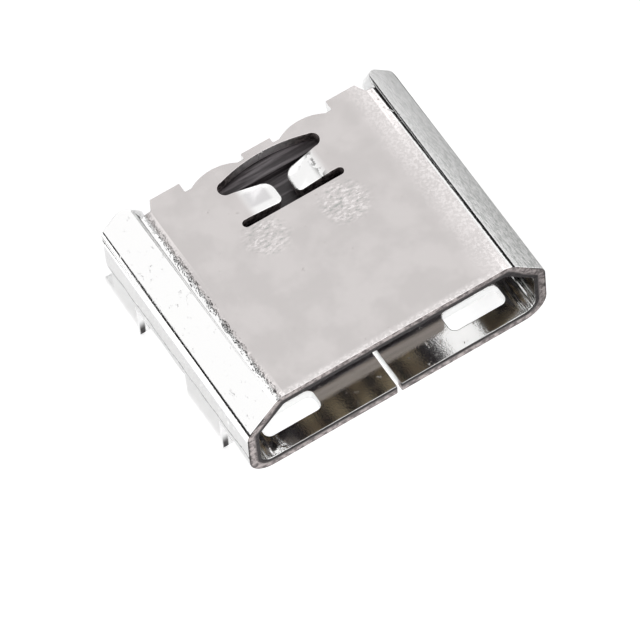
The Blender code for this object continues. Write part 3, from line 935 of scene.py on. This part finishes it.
@dataclass(frozen=True)
class Shell:
    """The folded shell with its anchor cutout, shaped back edge and four lanced legs."""

    mouth: float
    section: Section
    finish: PlatedSteel
    edge_finish: ShearedEdge
    sheet: float = 0.3
    seam_gap: float = 0.1
    top_length: float = 5.46
    side_length: float = 5.84
    bottom_length: float = 5.1
    side_end_upper_radius: float = 0.55
    shoulder_lobe: float = 0.19
    lobe_flat: float = 0.006
    side_end_lower_radius: float = 0.2
    notch_steps: int = 11
    corner_tab_inset: float = 0.12
    corner_tab_width: float = 0.75
    corner_tab_reach: float = 0.25
    middle_tab_width: float = 0.75
    middle_tab_reach: float = 0.14
    bump_reach: float = 0.16
    edge_notch: float = 0.15
    cutout_half_width: float = 1.26
    cutout_web: float = 0.07
    arch: float = 0.17
    back_slot_depth: float = 0.34
    back_slot_taper: float = 0.1
    anchor_tongue_width: float = 0.64
    front_slot_depth: float = 0.18
    stem_width: float = 0.38
    tip_back_radius: float = 0.28
    tip_front_radius: float = 0.14
    tongue_root_inset: float = 0.25
    tongue_dip: float = radians(7)
    leg_width: float = 1.37
    front_leg_start: float = 1.27
    tip_chamfer: float = 0.12
    heel_overhang: float = 0.19
    heel_radius: float = 0.15
    heel_rise: float = 0.05
    neck_setback: float = 0.22
    neck_rise: float = 0.1
    lance_gap: float = 0.15
    latch_inset: float = 1.64
    latch_width: float = 1.4
    latch_start: float = 0.47
    latch_depth: float = 0.52
    latch_radius: float = 0.15
    softness: float = 0.025
    overlap: float = 0.05
    cutter_depth: float = 0.4
    corner_overlap: float = 0.03
    corner_cutter_depth: float = 0.36
    side_cutter_inset: float = 0.65
    latch_cutter_depth: float = 0.2
    latch_cutter_height: float = 0.7
    under_top: float = 0.05
    corner_steps: int = 14
    side_end_steps: int = 8
    latch_steps: int = 6
    heel_steps: int = 6
    bump_steps: int = 14
    arch_steps: int = 10
    slot_steps: tuple[int, int] = (10, 12)
    tip_steps: tuple[int, int] = (6, 8)

    def depth(self, distance: float) -> float:
        """Turn a distance back from the mouth rim into a place."""
        return self.mouth + distance

    @property
    def leg_reach(self) -> float:
        """The distance from the middle to the end of a leg's window in the bottom panel."""
        fold = (self.section.lower_radius - self.sheet / 2) * pi / 2
        unfolded = self.section.lower_radius + self.section.board + self.lance_gap
        return self.section.width / 2 - self.section.lower_radius - (unfolded - fold)

    @property
    def heel_end(self) -> float:
        """The place of the back leg's back edge."""
        return self.depth(self.side_length + self.heel_overhang)

    @property
    def back_leg_start(self) -> float:
        """The place of the back leg's front edge."""
        return self.depth(self.side_length + self.heel_overhang - self.leg_width)

    @property
    def neck(self) -> float:
        """The place where the back leg's neck ends, under the side wall."""
        return self.depth(self.side_length - self.neck_setback)

    @property
    def neck_level(self) -> float:
        """The height of the notch over the back leg's neck."""
        return self.section.lower_bend_level + self.neck_rise

    @property
    def notch_edge(self) -> Vector:
        """Where the notch beside the top panel ends on the upper bend, on the outer face."""
        return self.section.on_upper_bend(self.section.shoulder * self.notch_steps / self.section.upper_steps)

    @property
    def back_slot_front(self) -> float:
        """The distance from the mouth to the front of the back slot's ends."""
        return self.top_length - self.cutout_web - self.arch - self.back_slot_depth

    @property
    def lip_front(self) -> float:
        """The distance from the mouth to the front of the anchor tongues."""
        return self.back_slot_front - self.back_slot_taper - self.anchor_tongue_width

    def build(self) -> bpy.types.Object:
        """Fold the sheet, cut it and soften its edges.

        Returns:
            The finished shell.
        """
        steel = self.finish.make()
        edge = self.edge_finish.make()
        piece = Piece("folded_shell", Vector((0.0, self.mouth, self.section.top)))
        self.section.draw(piece, self.seam_gap / 2)
        piece.select(Part.POINT)
        piece.extrude(Axis.BACK.by(self.side_length + self.shoulder_lobe - self.lobe_flat))
        self.cut_windows(piece)
        self.grow_front_leg(piece)
        self.grow_back_leg(piece)
        self.free_side_end(piece)
        piece.merge()
        piece.leave_edit()
        piece.obj.data.materials.append(steel)
        piece.obj.data.materials.append(edge)
        piece.modify("MIRROR", use_axis=(True, False, False), merge_threshold=Piece.MERGE)
        piece.modify("SOLIDIFY", thickness=self.sheet, offset=-1.0, use_even_offset=True, material_offset_rim=1)
        for side in (-1.0, 1.0):
            for draw in (self.back_edge, self.shoulder_corner, self.side_end, self.latch, self.cutout):
                outline, through = draw(side)
                outline.select(Part.POINT)
                outline.fill()
                outline.extrude(through)
                outline.obj.data.materials.append(edge)
                piece.combine(outline, "DIFFERENCE")
        self.dip_tongues(piece)
        return piece.finish(self.softness)

    def cut_windows(self, piece: Piece) -> None:
        """Cut the half sheet along the legs' edges, and take out the windows and the open back."""
        front = self.depth(self.front_leg_start)
        front_end = front + self.leg_width
        back = self.back_leg_start
        gap = self.lance_gap
        bottom_end = self.depth(self.bottom_length)
        windows = (front - gap, front, front_end, front_end + gap, back - gap, back)
        for place in (*windows, self.neck, bottom_end, self.depth(self.top_length)):
            piece.cut(Axis.BACK.by(place), Axis.BACK.vector)
        piece.cut(Axis.ACROSS.by(self.leg_reach), Axis.ACROSS.vector)
        piece.cut(Axis.UP.by(self.neck_level), Axis.UP.vector)

        def in_window(middle: Vector, _normal: Vector) -> bool:
            """Tell whether a face lies in a leg's window or behind the bottom panel."""
            lanced = front - gap < middle.y < front_end + gap or middle.y > back - gap
            open_here = middle.y > bottom_end or (middle.x > self.leg_reach and lanced)
            return open_here and middle.z <= self.section.lower_bend_level

        piece.delete(Part.FACE, in_window)
        piece.delete(Part.FACE, lambda middle, _normal: middle.z < self.neck_level and middle.y > self.neck)

    def pull_leg(self, piece: Piece, start: float, end: float, low: float) -> None:
        """Pull the lower edge of the side wall down.

        Args:
            piece: The half sheet.
            start: Where the edge starts.
            end: Where it ends.
            low: The height that it is pulled to.
        """
        level = self.section.lower_bend_level
        piece.select(Part.EDGE, lambda middle, along: (
            near(middle.z, level) and abs(along.y) > Piece.ALIGNED and start < middle.y < end
        ))
        piece.extrude(Axis.UP.by(low - level))

    def grow_front_leg(self, piece: Piece) -> None:
        """Pull the front leg down from the wall and chamfer its tip."""
        front = self.depth(self.front_leg_start)
        self.pull_leg(piece, front, front + self.leg_width, 0.0)
        piece.bevel(Part.POINT, lambda place, _normal: near(place.z, 0.0), self.tip_chamfer)

    def grow_back_leg(self, piece: Piece) -> None:
        """Pull the back leg down from the wall, push its heel back and shape its tip."""
        back = self.back_leg_start
        heel = self.section.board + self.heel_rise
        self.pull_leg(piece, back, self.neck, heel)
        piece.extrude(Axis.UP.by(-heel))
        piece.select(Part.EDGE, lambda middle, along: (
            abs(along.z) > Piece.ALIGNED and near(middle.y, self.neck) and middle.z < heel
        ))
        piece.extrude(Axis.BACK.by(self.heel_end - self.neck))
        piece.bevel(
            Part.POINT, lambda place, _normal: near(place.z, heel) and place.y > self.neck + Piece.MERGE,
            self.heel_radius, self.heel_steps,
        )
        piece.bevel(
            Part.POINT,
            lambda place, _normal: near(place.z, 0.0) and (near(place.y, back) or near(place.y, self.heel_end)),
            self.tip_chamfer,
        )

    def free_side_end(self, piece: Piece) -> None:
        """Part the end of the shoulder from the top panel, and slant the side of the corner tab."""
        top_end = self.section.top_end
        limit = self.depth(self.top_length)
        rim = self.notch_edge
        piece.delete(Part.FACE, lambda middle, _normal: (
            top_end < middle.x < rim.x and middle.z > rim.z and middle.y > limit
        ))
        slant = Vector((self.corner_tab_reach, self.corner_tab_inset, 0.0)).normalized()
        piece.cut(Vector((top_end, limit, 0.0)), slant, lambda middle, _normal: (
            middle.x < top_end and middle.z > rim.z and middle.y > limit
        ), clear=True)

    def shoulder_corner(self, side: float) -> tuple[Outline, Vector]:
        """Draw what is cut off round the upper corner of the shoulder's end.

        Args:
            side: 1 for the right half and -1 for the left.

        Returns:
            The outline and its way through the sheet.
        """
        slope = self.section.shoulder
        radius = self.side_end_upper_radius
        reach = radius + self.corner_overlap
        outward = Vector((sin(slope), 0.0, cos(slope)))
        inward = Vector((-cos(slope), 0.0, sin(slope)))
        end = self.depth(self.side_length + self.shoulder_lobe)
        start = self.notch_edge + Axis.BACK.by(end - radius) - self.corner_cutter_depth * outward
        outline = Outline("shoulder_corner_cutter", side, start)
        outline.bend(start - radius * inward, -pi / 2, outward, self.corner_steps)
        outline.line(Axis.BACK.by(self.corner_overlap))
        outline.line(reach * inward)
        outline.line(Axis.BACK.by(-reach))
        return outline, 2 * self.corner_cutter_depth * outward

    def side_end(self, side: float) -> tuple[Outline, Vector]:
        """Draw what is cut off behind the side wall and under the shoulder's lobe.

        Args:
            side: 1 for the right half and -1 for the left.

        Returns:
            The outline and its way through the sheet.
        """
        bend_level = self.section.side_bend_level
        radius = self.side_end_lower_radius
        across = Axis.ACROSS.vector
        inside = self.section.width / 2 - self.side_cutter_inset
        end = self.depth(self.side_length)
        neck = self.neck_level
        outline = Outline("side_end_cutter", side, Vector((inside, end - radius, neck)))
        outline.bend(Vector((inside, end - radius, neck + radius)), pi / 2, across, self.side_end_steps)
        outline.line(Axis.UP.by(bend_level - self.shoulder_lobe - neck - radius))
        outline.bend(Vector((inside, end, bend_level)), pi / 2, across, self.side_end_steps)
        outline.line(Axis.BACK.by(self.overlap))
        outline.line(Axis.UP.by(neck - self.overlap - bend_level))
        outline.line(Axis.BACK.by(-self.shoulder_lobe - self.overlap - radius))
        return outline, Axis.ACROSS.by(2 * self.cutter_depth)

    def latch(self, side: float) -> tuple[Outline, Vector]:
        """Draw one latch hole under the bottom panel.

        Args:
            side: 1 for the right half and -1 for the left.

        Returns:
            The outline and its way through the sheet.
        """
        radius = self.latch_radius
        inner = self.latch_inset + radius
        outer = self.latch_inset + self.latch_width - radius
        front = self.depth(self.latch_start) + radius
        back = self.depth(self.latch_start + self.latch_depth) - radius
        low = self.section.board - self.latch_cutter_depth
        corners = ((inner, front), (outer, front), (outer, back), (inner, back))
        outline = Outline("latch_cutter", side, Vector((inner - radius, front, low)))
        for (across, place), (next_across, next_place) in zip(corners, corners[1:] + corners[:1]):
            outline.bend(Vector((across, place, low)), pi / 2, Axis.UP.vector, self.latch_steps)
            outline.line(Vector((next_across - across, next_place - place, 0.0)))
        outline.merge()
        return outline, Axis.UP.by(self.latch_cutter_height)

    def back_edge(self, side: float) -> tuple[Outline, Vector]:
        """Draw what is cut off behind one half of the top panel.

        Args:
            side: 1 for the right half and -1 for the left.

        Returns:
            The outline and its way through the sheet.
        """
        base = self.depth(self.top_length)
        far = self.depth(self.side_length + self.sheet)
        low = self.section.top - self.cutter_depth
        half_tab = self.middle_tab_width / 2
        tab_outer = self.section.top_end - self.corner_tab_inset
        bump_start = half_tab + self.edge_notch
        half_bump = (tab_outer - self.corner_tab_width - self.edge_notch - bump_start) / 2
        bump_radius = (half_bump**2 + self.bump_reach**2) / (2 * self.bump_reach)
        sweep = 2 * asin(half_bump / bump_radius)
        outline = Outline("back_edge_cutter", side, Vector((-self.overlap, base + self.middle_tab_reach, low)))
        outline.line(Axis.ACROSS.by(half_tab + self.overlap))
        outline.line(Axis.BACK.by(-self.middle_tab_reach))
        outline.line(Axis.ACROSS.by(self.edge_notch))
        middle = Vector((bump_start + half_bump, base + self.bump_reach - bump_radius, low))
        outline.bend(middle, -sweep, Axis.UP.vector, self.bump_steps)
        outline.line(Axis.ACROSS.by(self.edge_notch))
        outline.line(Axis.BACK.by(self.corner_tab_reach))
        outline.line(Axis.ACROSS.by(self.corner_tab_width + self.overlap / 2))
        outline.line(Axis.BACK.by(far - base - self.corner_tab_reach))
        outline.line(Axis.ACROSS.by(-tab_outer - 3 * self.overlap / 2))
        return outline, Axis.UP.by(2 * self.cutter_depth)

    def cutout(self, side: float) -> tuple[Outline, Vector]:
        """Draw one half of the anchor cutout.

        Args:
            side: 1 for the right half and -1 for the left.

        Returns:
            The outline and its way through the sheet.
        """
        up = Axis.UP.vector
        lip_back = self.back_slot_front - self.back_slot_taper
        front_radius = self.front_slot_depth / 2
        end_radius = self.back_slot_depth / 2
        front_end = self.cutout_half_width - front_radius
        slot_end = self.cutout_half_width - end_radius
        front_tip = self.stem_width / 2 + self.tip_front_radius
        back_tip = self.stem_width / 2 + self.tip_back_radius
        back_centre = lip_back - self.tip_back_radius
        arch_radius = (slot_end**2 + self.arch**2) / (2 * self.arch)
        arch_top = self.back_slot_front + self.back_slot_depth + self.arch

        def at(across: float, distance: float) -> Vector:
            """Return a place on the outline."""
            return Vector((across, self.depth(distance), self.section.top - self.cutter_depth))

        outline = Outline("cutout_cutter", side, at(-self.overlap, self.lip_front - self.front_slot_depth))
        outline.line(at(front_end, 0.0) - at(-self.overlap, 0.0))
        outline.bend(at(front_end, self.lip_front - front_radius), pi, up, self.slot_steps[0])
        outline.line(at(front_tip, 0.0) - at(front_end, 0.0))
        outline.bend(at(front_tip, self.lip_front + self.tip_front_radius), -pi / 2, up, self.tip_steps[0])
        outline.line(Axis.BACK.by(back_centre - self.lip_front - self.tip_front_radius))
        outline.bend(at(back_tip, back_centre), -pi / 2, up, self.tip_steps[1])
        outline.line(at(slot_end, self.back_slot_front) - at(back_tip, lip_back))
        outline.bend(at(slot_end, self.back_slot_front + end_radius), pi, up, self.slot_steps[1])
        outline.bend(at(0.0, arch_top - arch_radius), asin(slot_end / arch_radius), up, self.arch_steps)
        outline.line(Axis.ACROSS.by(-self.overlap))
        return outline, Axis.UP.by(2 * self.cutter_depth)

    def dip_tongues(self, piece: Piece) -> None:
        """Bend the cutout's two tongues down about their roots."""
        root = self.cutout_half_width - self.tongue_root_inset
        low = self.section.top - self.sheet - self.under_top
        margin = self.front_slot_depth / 4
        front = self.depth(self.lip_front - margin)
        back = self.depth(self.back_slot_front + margin)
        piece.enter_edit()
        for side in (-1.0, 1.0):
            hinge = Vector((side * root, 0.0, self.section.top - self.sheet / 2))
            piece.cut(hinge, Axis.ACROSS.vector, lambda middle, normal: (
                middle.z > low and abs(normal.z) > Piece.LEVEL
            ))
            piece.select(Part.POINT, lambda place, _normal: (
                0.0 < side * place.x < root - Piece.MERGE and place.z > low and front < place.y < back
            ))
            bpy.ops.transform.rotate(value=side * self.tongue_dip, orient_axis="Y", center_override=hinge)
        piece.leave_edit()


@dataclass
class Moulding:
    """The black moulding: a block in the back of the shell, and the tongue in front of it."""

    mouth: float
    section: Section
    finish: BlackMoulding
    row: "ContactRow"
    block_front: float
    block_back: float
    inset: float = 0.32
    overlap: float = 0.44
    tongue_bevel: float = 0.1
    bevel_steps: int = 4
    pocket_half_width: float = 1.38
    pocket_front: float = 3.84
    pocket_back: float = 5.0
    pocket_floor: float = 0.52
    softness: float = 0.03

    def build(self) -> bpy.types.Object:
        """Mould the block and tongue, and cut the contacts' grooves and the anchor's pocket.

        Returns:
            The finished moulding.
        """
        piece = Piece("moulding", Vector((0.0, self.block_front, self.section.top - self.inset)))
        self.section.draw(piece, 0.0)
        piece.select(Part.POINT)
        piece.extrude(Axis.BACK.by(self.block_back - self.block_front))
        piece.merge()
        piece.leave_edit()
        piece.modify("MIRROR", use_axis=(True, False, False), merge_threshold=Piece.MERGE)
        piece.enter_edit()
        for end in (self.block_front, self.block_back):
            piece.select(Part.EDGE, lambda middle, _along: near(middle.y, end))
            piece.fill()
        piece.merge()
        piece.leave_edit()
        piece.obj.data.materials.append(self.finish.make())
        piece.combine(self.tongue(), "UNION")
        for place in self.row.places():
            piece.combine(self.row.groove(place, self.block_back), "DIFFERENCE")
        piece.combine(self.pocket(), "DIFFERENCE")
        return piece.finish(self.softness)

    def tongue(self) -> Piece:
        """Model the flat tongue with its rounded edges."""
        back = self.block_front + self.overlap
        middle = (self.row.tongue_front + back) / 2
        place = Vector((0.0, middle, self.row.tongue_top - self.row.tongue_thickness / 2))
        size = Vector((self.row.tongue_width, back - self.row.tongue_front, self.row.tongue_thickness))
        piece = Piece("tongue", place, size)
        piece.bevel(Part.EDGE, lambda _middle, _along: True, self.tongue_bevel, self.bevel_steps)
        return piece

    def pocket(self) -> Piece:
        """Model the recess under the shell's two bent tongues."""
        front = self.mouth + self.pocket_front
        back = self.mouth + self.pocket_back
        low = self.section.top - self.pocket_floor
        place = Vector((0.0, (front + back) / 2, (low + self.section.top) / 2))
        return Piece("pocket", place, Vector((2 * self.pocket_half_width, back - front, self.pocket_floor)))


@dataclass
class ContactRow:
    """The five contacts, and the grooves in the tongue that hold them."""

    low: Vector
    high: Vector
    tongue_front: float
    tongue_top: float
    finish: GoldPlating
    count: int = 5
    pitch: float = 0.65
    width: float = 0.35
    thickness: float = 0.15
    proud: float = 0.04
    clearance: float = 0.02
    bend_inside: float = 0.08
    tail_gap: float = 0.02
    tongue_thickness: float = 0.6
    side_margin: float = 0.35
    tip_chamfer: float = 0.11
    tip_rounding: float = 0.07
    tip_steps: int = 4
    bend_steps: int = 8
    softness: float = 0.02

    @property
    def tongue_width(self) -> float:
        """The width of the tongue."""
        return (self.count - 1) * self.pitch + self.width + 2 * self.side_margin

    def places(self) -> list[float]:
        """List the places of the contacts across the tongue."""
        return [(index - (self.count - 1) / 2) * self.pitch for index in range(self.count)]

    def groove(self, place: float, block_back: float) -> Piece:
        """Model the groove and tunnel of one contact.

        Args:
            place: The contact's place across the tongue.
            block_back: Where the block ends.

        Returns:
            The cutter.
        """
        front = self.low.y - self.clearance
        back = block_back + self.tail_gap
        low = self.high.z - self.thickness - self.clearance
        high = self.high.z + self.clearance
        middle = Vector((place, (front + back) / 2, (low + high) / 2))
        return Piece("groove", middle, Vector((self.width + 2 * self.clearance, back - front, high - low)))

    def build(self, drop: float) -> list[bpy.types.Object]:
        """Form one contact and copy it along the row.

        Args:
            drop: Where the contacts turn down behind the block.

        Returns:
            The finished contacts.
        """
        half = self.thickness / 2
        radius = self.bend_inside + half
        top = self.high.z - half
        bottom = self.low.z + half
        turn = drop + half + self.bend_inside
        tip_end = self.low.y + self.tip_chamfer
        across = Axis.ACROSS.vector
        piece = Piece("contact", Vector((self.places()[0] - self.width / 2, self.low.y, top)))
        piece.line(Axis.BACK.by(turn - radius - self.low.y))
        piece.bend(Vector((0.0, turn - radius, top - radius)), -pi / 2, across, self.bend_steps)
        piece.line(Axis.UP.by(bottom - top + 2 * radius))
        piece.bend(Vector((0.0, turn + radius, bottom + radius)), pi / 2, across, self.bend_steps)
        piece.line(Axis.BACK.by(self.high.y - turn - radius))
        piece.select(Part.POINT)
        piece.extrude(Axis.ACROSS.by(self.width))
        piece.merge()
        piece.bevel(Part.POINT, lambda place, _normal: near(place.y, self.low.y), self.tip_chamfer)
        piece.leave_edit()
        piece.obj.data.materials.append(self.finish.make())
        piece.modify("SOLIDIFY", thickness=self.thickness, offset=0.0, use_even_offset=True)
        piece.enter_edit()
        piece.bevel(Part.EDGE, lambda middle, along: (
            middle.y < tip_end + Piece.MERGE and near(middle.z, self.high.z) and abs(along.x) > Piece.ALIGNED
        ), self.tip_rounding, self.tip_steps)
        piece.leave_edit()
        first = piece.finish(self.softness)
        return [first, *(self.copy(first, index) for index in range(1, self.count))]

    def copy(self, first: bpy.types.Object, index: int) -> bpy.types.Object:
        """Copy the first contact, with a mesh of its own, to a later place in the row."""
        mesh = first.data.copy()
        mesh.transform(Matrix.Translation((index * self.pitch * MM, 0.0, 0.0)))
        contact = bpy.data.objects.new(f"gold_contact_{index + 1}", mesh)
        bpy.context.scene.collection.objects.link(contact)
        return contact


@dataclass(frozen=True)
class SoftBox:
    """A long soft lamp from front to back that fills an angle about the socket, as seen from its mouth."""

    name: str
    start: float
    stop: float
    radiance: float
    distance: float = 100.0
    length: float = 150.0
    behind: float = 51.4

    @property
    def middle(self) -> float:
        """The angle of its middle from the vertical."""
        return radians(self.start + self.stop) / 2

    @property
    def width(self) -> float:
        """How wide it is."""
        return 2 * self.distance * tan(radians(self.stop - self.start) / 2)

    @property
    def back(self) -> Vector:
        """The way from the socket to it."""
        return Vector((sin(self.middle), 0.0, cos(self.middle)))

    @property
    def right(self) -> Vector:
        """The way along its width."""
        return Vector((cos(self.middle), 0.0, -sin(self.middle)))

    @property
    def place(self) -> Vector:
        """Where it hangs, from the socket."""
        return self.distance * self.back + self.behind * Axis.BACK.vector


class FrontBox(SoftBox):
    """A long soft lamp that runs from left to right in front of the mouth, at angles that lean forwards."""

    @property
    def back(self) -> Vector:
        """The way from the socket to it."""
        return Vector((0.0, -sin(self.middle), cos(self.middle)))

    @property
    def right(self) -> Vector:
        """The way along its width, which leans back over the socket."""
        return Vector((0.0, cos(self.middle), sin(self.middle)))

    @property
    def place(self) -> Vector:
        """Where it hangs, from the socket."""
        return self.distance * self.back


LAMPS = (
    SoftBox("overhead", -22.0, 59.0, 0.88),
    SoftBox("left", -86.0, -39.0, 0.96),
    SoftBox("right", 60.0, 73.0, 0.96),
    FrontBox("front", 35.0, 85.0, 1.25, 100.0, 120.0),
)


@dataclass
class Studio:
    """The floor, the lamps, the world and the camera."""

    target: Vector = field(default_factory=lambda: Vector((0.0, -0.35, 2.0)))
    azimuth: float = radians(-27.07)
    elevation: float = radians(59.13)
    roll: float = radians(5.94)
    distance: float = 178.57
    right_of_target: float = -0.2136
    below_target: float = -0.927
    sensor: float = 36.0
    lens: float = 470.3
    clip_start: float = 0.01
    floor_size: float = 900.0
    world_level: float = 0.1
    room_glow: float = 0.4
    dark_band: Span = (0.1, 0.15, 0.61, 0.66)
    lamps: tuple[SoftBox, ...] = LAMPS
    floor_glow: float = 0.62
    floor_grey: float = 0.8
    # Painted reflections: the floor's glow for glossy rays only, under the socket, left of it and in two
    # strips.
    under_glow: float = 0.05
    left_glow: float = 0.27
    left_of: float = -3.7
    reflected_glow: float = 0.62
    reflected_glow_middle: Range = (3.95, 3.8)
    reflected_glow_strips: tuple[Span, ...] = ((-13.2, -13.0, -4.9, -4.7), (12.8, 13.0, 30.0, 30.2))
    strip_length: Range = (30.0, 25.0)
    cards: tuple[Triple, ...] = ((-14.0, 0.0, 2.6), (20.0, 1.5, 8.3))
    card_length: float = 60.0
    card_thickness: float = 0.2
    card_grey: float = 0.03

    def build(self) -> None:
        """Set the whole studio up."""
        self.lay_floor()
        self.stand_cards()
        self.light_world()
        self.hang_lamps()
        self.stand_camera()
        bpy.context.scene.view_settings.view_transform = "Standard"

    def lay_floor(self) -> None:
        """Lay the pale floor. It shows nearly white, and keeps a soft shadow. For glossy rays it glows
        unevenly: painted reflections that the metal mirrors as highlights.
        """
        bpy.ops.object.select_all(action="DESELECT")
        bpy.ops.mesh.primitive_plane_add(size=self.floor_size * MM)
        floor = bpy.context.active_object
        floor.name = "floor"
        material, canvas = new_material("pale_paper")
        across, back, _up = canvas.axes()
        # Painted reflections: seen by glossy rays, the floor glows under the socket, beside the left wall and
        # in two strips, and the metal mirrors these as highlights.
        white = abs(across).ramp(*self.reflected_glow_middle)
        for strip in self.reflected_glow_strips:
            white = white + across.span(*strip)
        white = white.least(1.0) * abs(back).ramp(*self.strip_length)
        mirrored = self.under_glow + self.left_glow * across.below(self.left_of) + self.reflected_glow * white
        strength = self.floor_glow * canvas.path("Is Camera Ray") + mirrored * canvas.path("Is Glossy Ray")
        paper = canvas.node("ShaderNodeBsdfDiffuse", None, {"Color": grey(self.floor_grey)})
        glow = canvas.node("ShaderNodeEmission", None, {"Color": grey(1.0), "Strength": strength})
        both = canvas.node("ShaderNodeAddShader", None, {0: paper.outputs[0], 1: glow.outputs[0]})
        canvas.surface(both.outputs[0])
        floor.data.materials.append(material)

    def stand_cards(self) -> None:
        """Stand black cards on both sides, out of view, which draw the dark lines along the bends."""
        material, canvas = new_material("black_paper")
        canvas.surface(canvas.node("ShaderNodeBsdfDiffuse", None, {"Color": grey(self.card_grey)}).outputs[0])
        for place, low, high in self.cards:
            bpy.ops.object.select_all(action="DESELECT")
            size = Vector((self.card_thickness, self.card_length, high - low)) * MM
            middle = Vector((place, 0.0, (low + high) / 2)) * MM
            bpy.ops.mesh.primitive_cube_add(size=1.0, location=middle, scale=size)
            bpy.ops.object.transform_apply(location=True, rotation=True, scale=True)
            card = bpy.context.active_object
            card.name = "black_card"
            card.visible_camera = False
            card.data.materials.append(material)

    def light_world(self) -> None:
        """Fill the room with grey light. It shows white, and metal mirrors it bright but for a dark band."""
        world = bpy.data.worlds.new("room")
        world.use_nodes = True
        canvas = Canvas(world.node_tree)
        ways = canvas.node("ShaderNodeTexCoord").outputs["Generated"]
        back = Value(canvas, canvas.node("ShaderNodeSeparateXYZ", None, {0: ways}).outputs["Y"])
        room = self.room_glow * canvas.path("Is Glossy Ray") * (1.0 - back.span(*self.dark_band))
        strength = self.world_level + (1.0 - self.world_level) * canvas.path("Is Camera Ray") + room
        light = canvas.node("ShaderNodeBackground", None, {"Color": grey(1.0), "Strength": strength})
        canvas.node("ShaderNodeOutputWorld", None, {"Surface": light.outputs[0]})
        bpy.context.scene.world = world

    def hang_lamps(self) -> None:
        """Hang the soft lamps beside and above the socket."""
        for lamp in self.lamps:
            data = bpy.data.lights.new(lamp.name, "AREA")
            data.shape = "RECTANGLE"
            data.size = lamp.width * MM
            data.size_y = lamp.length * MM
            data.energy = lamp.radiance * pi * data.size * data.size_y
            hung = bpy.data.objects.new(lamp.name, data)
            bpy.context.scene.collection.objects.link(hung)
            up = lamp.back.cross(lamp.right)
            hung.matrix_world = self.standing(self.target + lamp.place, lamp.right, up, lamp.back)

    @staticmethod
    def standing(place: Vector, right: Vector, up: Vector, back: Vector) -> Matrix:
        """Make the matrix of a camera or lamp from its place and its right, top and backward ways."""
        turned = Matrix((right, up, back)).transposed().to_4x4()
        return Matrix.Translation(place * MM) @ turned

    def stand_camera(self) -> None:
        """Stand the camera where the photograph was taken from."""
        flat = cos(self.elevation)
        back = Vector((sin(self.azimuth) * flat, -cos(self.azimuth) * flat, sin(self.elevation)))
        level = Axis.UP.vector.cross(back).normalized()
        upright = back.cross(level)
        right = level * cos(self.roll) - upright * sin(self.roll)
        top = level * sin(self.roll) + upright * cos(self.roll)
        place = self.target + self.distance * back + self.right_of_target * right + self.below_target * top
        data = bpy.data.cameras.new("camera")
        data.sensor_width = self.sensor
        data.lens = self.lens
        data.clip_start = self.clip_start
        camera = bpy.data.objects.new("camera", data)
        bpy.context.scene.collection.objects.link(camera)
        camera.matrix_world = self.standing(place, right, top, back)
        bpy.context.scene.camera = camera


def settle(piece: bpy.types.Object, slot: str, *nodes: str) -> None:
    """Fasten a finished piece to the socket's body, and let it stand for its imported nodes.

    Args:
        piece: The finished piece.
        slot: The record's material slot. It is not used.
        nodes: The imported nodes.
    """
    if nodes:
        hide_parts(*nodes)
        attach(piece, BODY)
    LOG.info("%s: %d faces", piece.name, len(piece.data.polygons))


def node_box(name: str) -> tuple[Vector, Vector]:
    """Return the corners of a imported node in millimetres."""
    low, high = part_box(name)
    return low / MM, high / MM


def main() -> None:
    """Build every piece, then the studio."""
    logging.basicConfig(level=logging.INFO, format="%(name)s %(message)s")
    low, high = node_box("shell")
    section = Section(high.x - low.x, high.z - BOARD_LEVEL, BOARD_LEVEL)
    shell = Shell(low.y, section, PlatedSteel(), ShearedEdge(section, low.y))
    settle(shell.build(), "shell_steel", "shell")
    block_low, block_high = node_box("insulator")
    contact_low, contact_high = node_box("contact_1")
    tongue_top = contact_high.z - ContactRow.proud
    row = ContactRow(contact_low, contact_high, block_low.y, tongue_top, GoldPlating())
    moulding = Moulding(low.y, section, BlackMoulding(), row, block_high.y - BLOCK_DEPTH, block_high.y)
    settle(moulding.build(), "black_plastic", "insulator")
    for index, contact in enumerate(row.build(block_high.y + row.tail_gap)):
        contact.name = f"gold_contact_{index + 1}"
        settle(contact, "gold_plate", f"contact_{index + 1}")
    Studio().build()


if __name__ == "__main__":
    main()
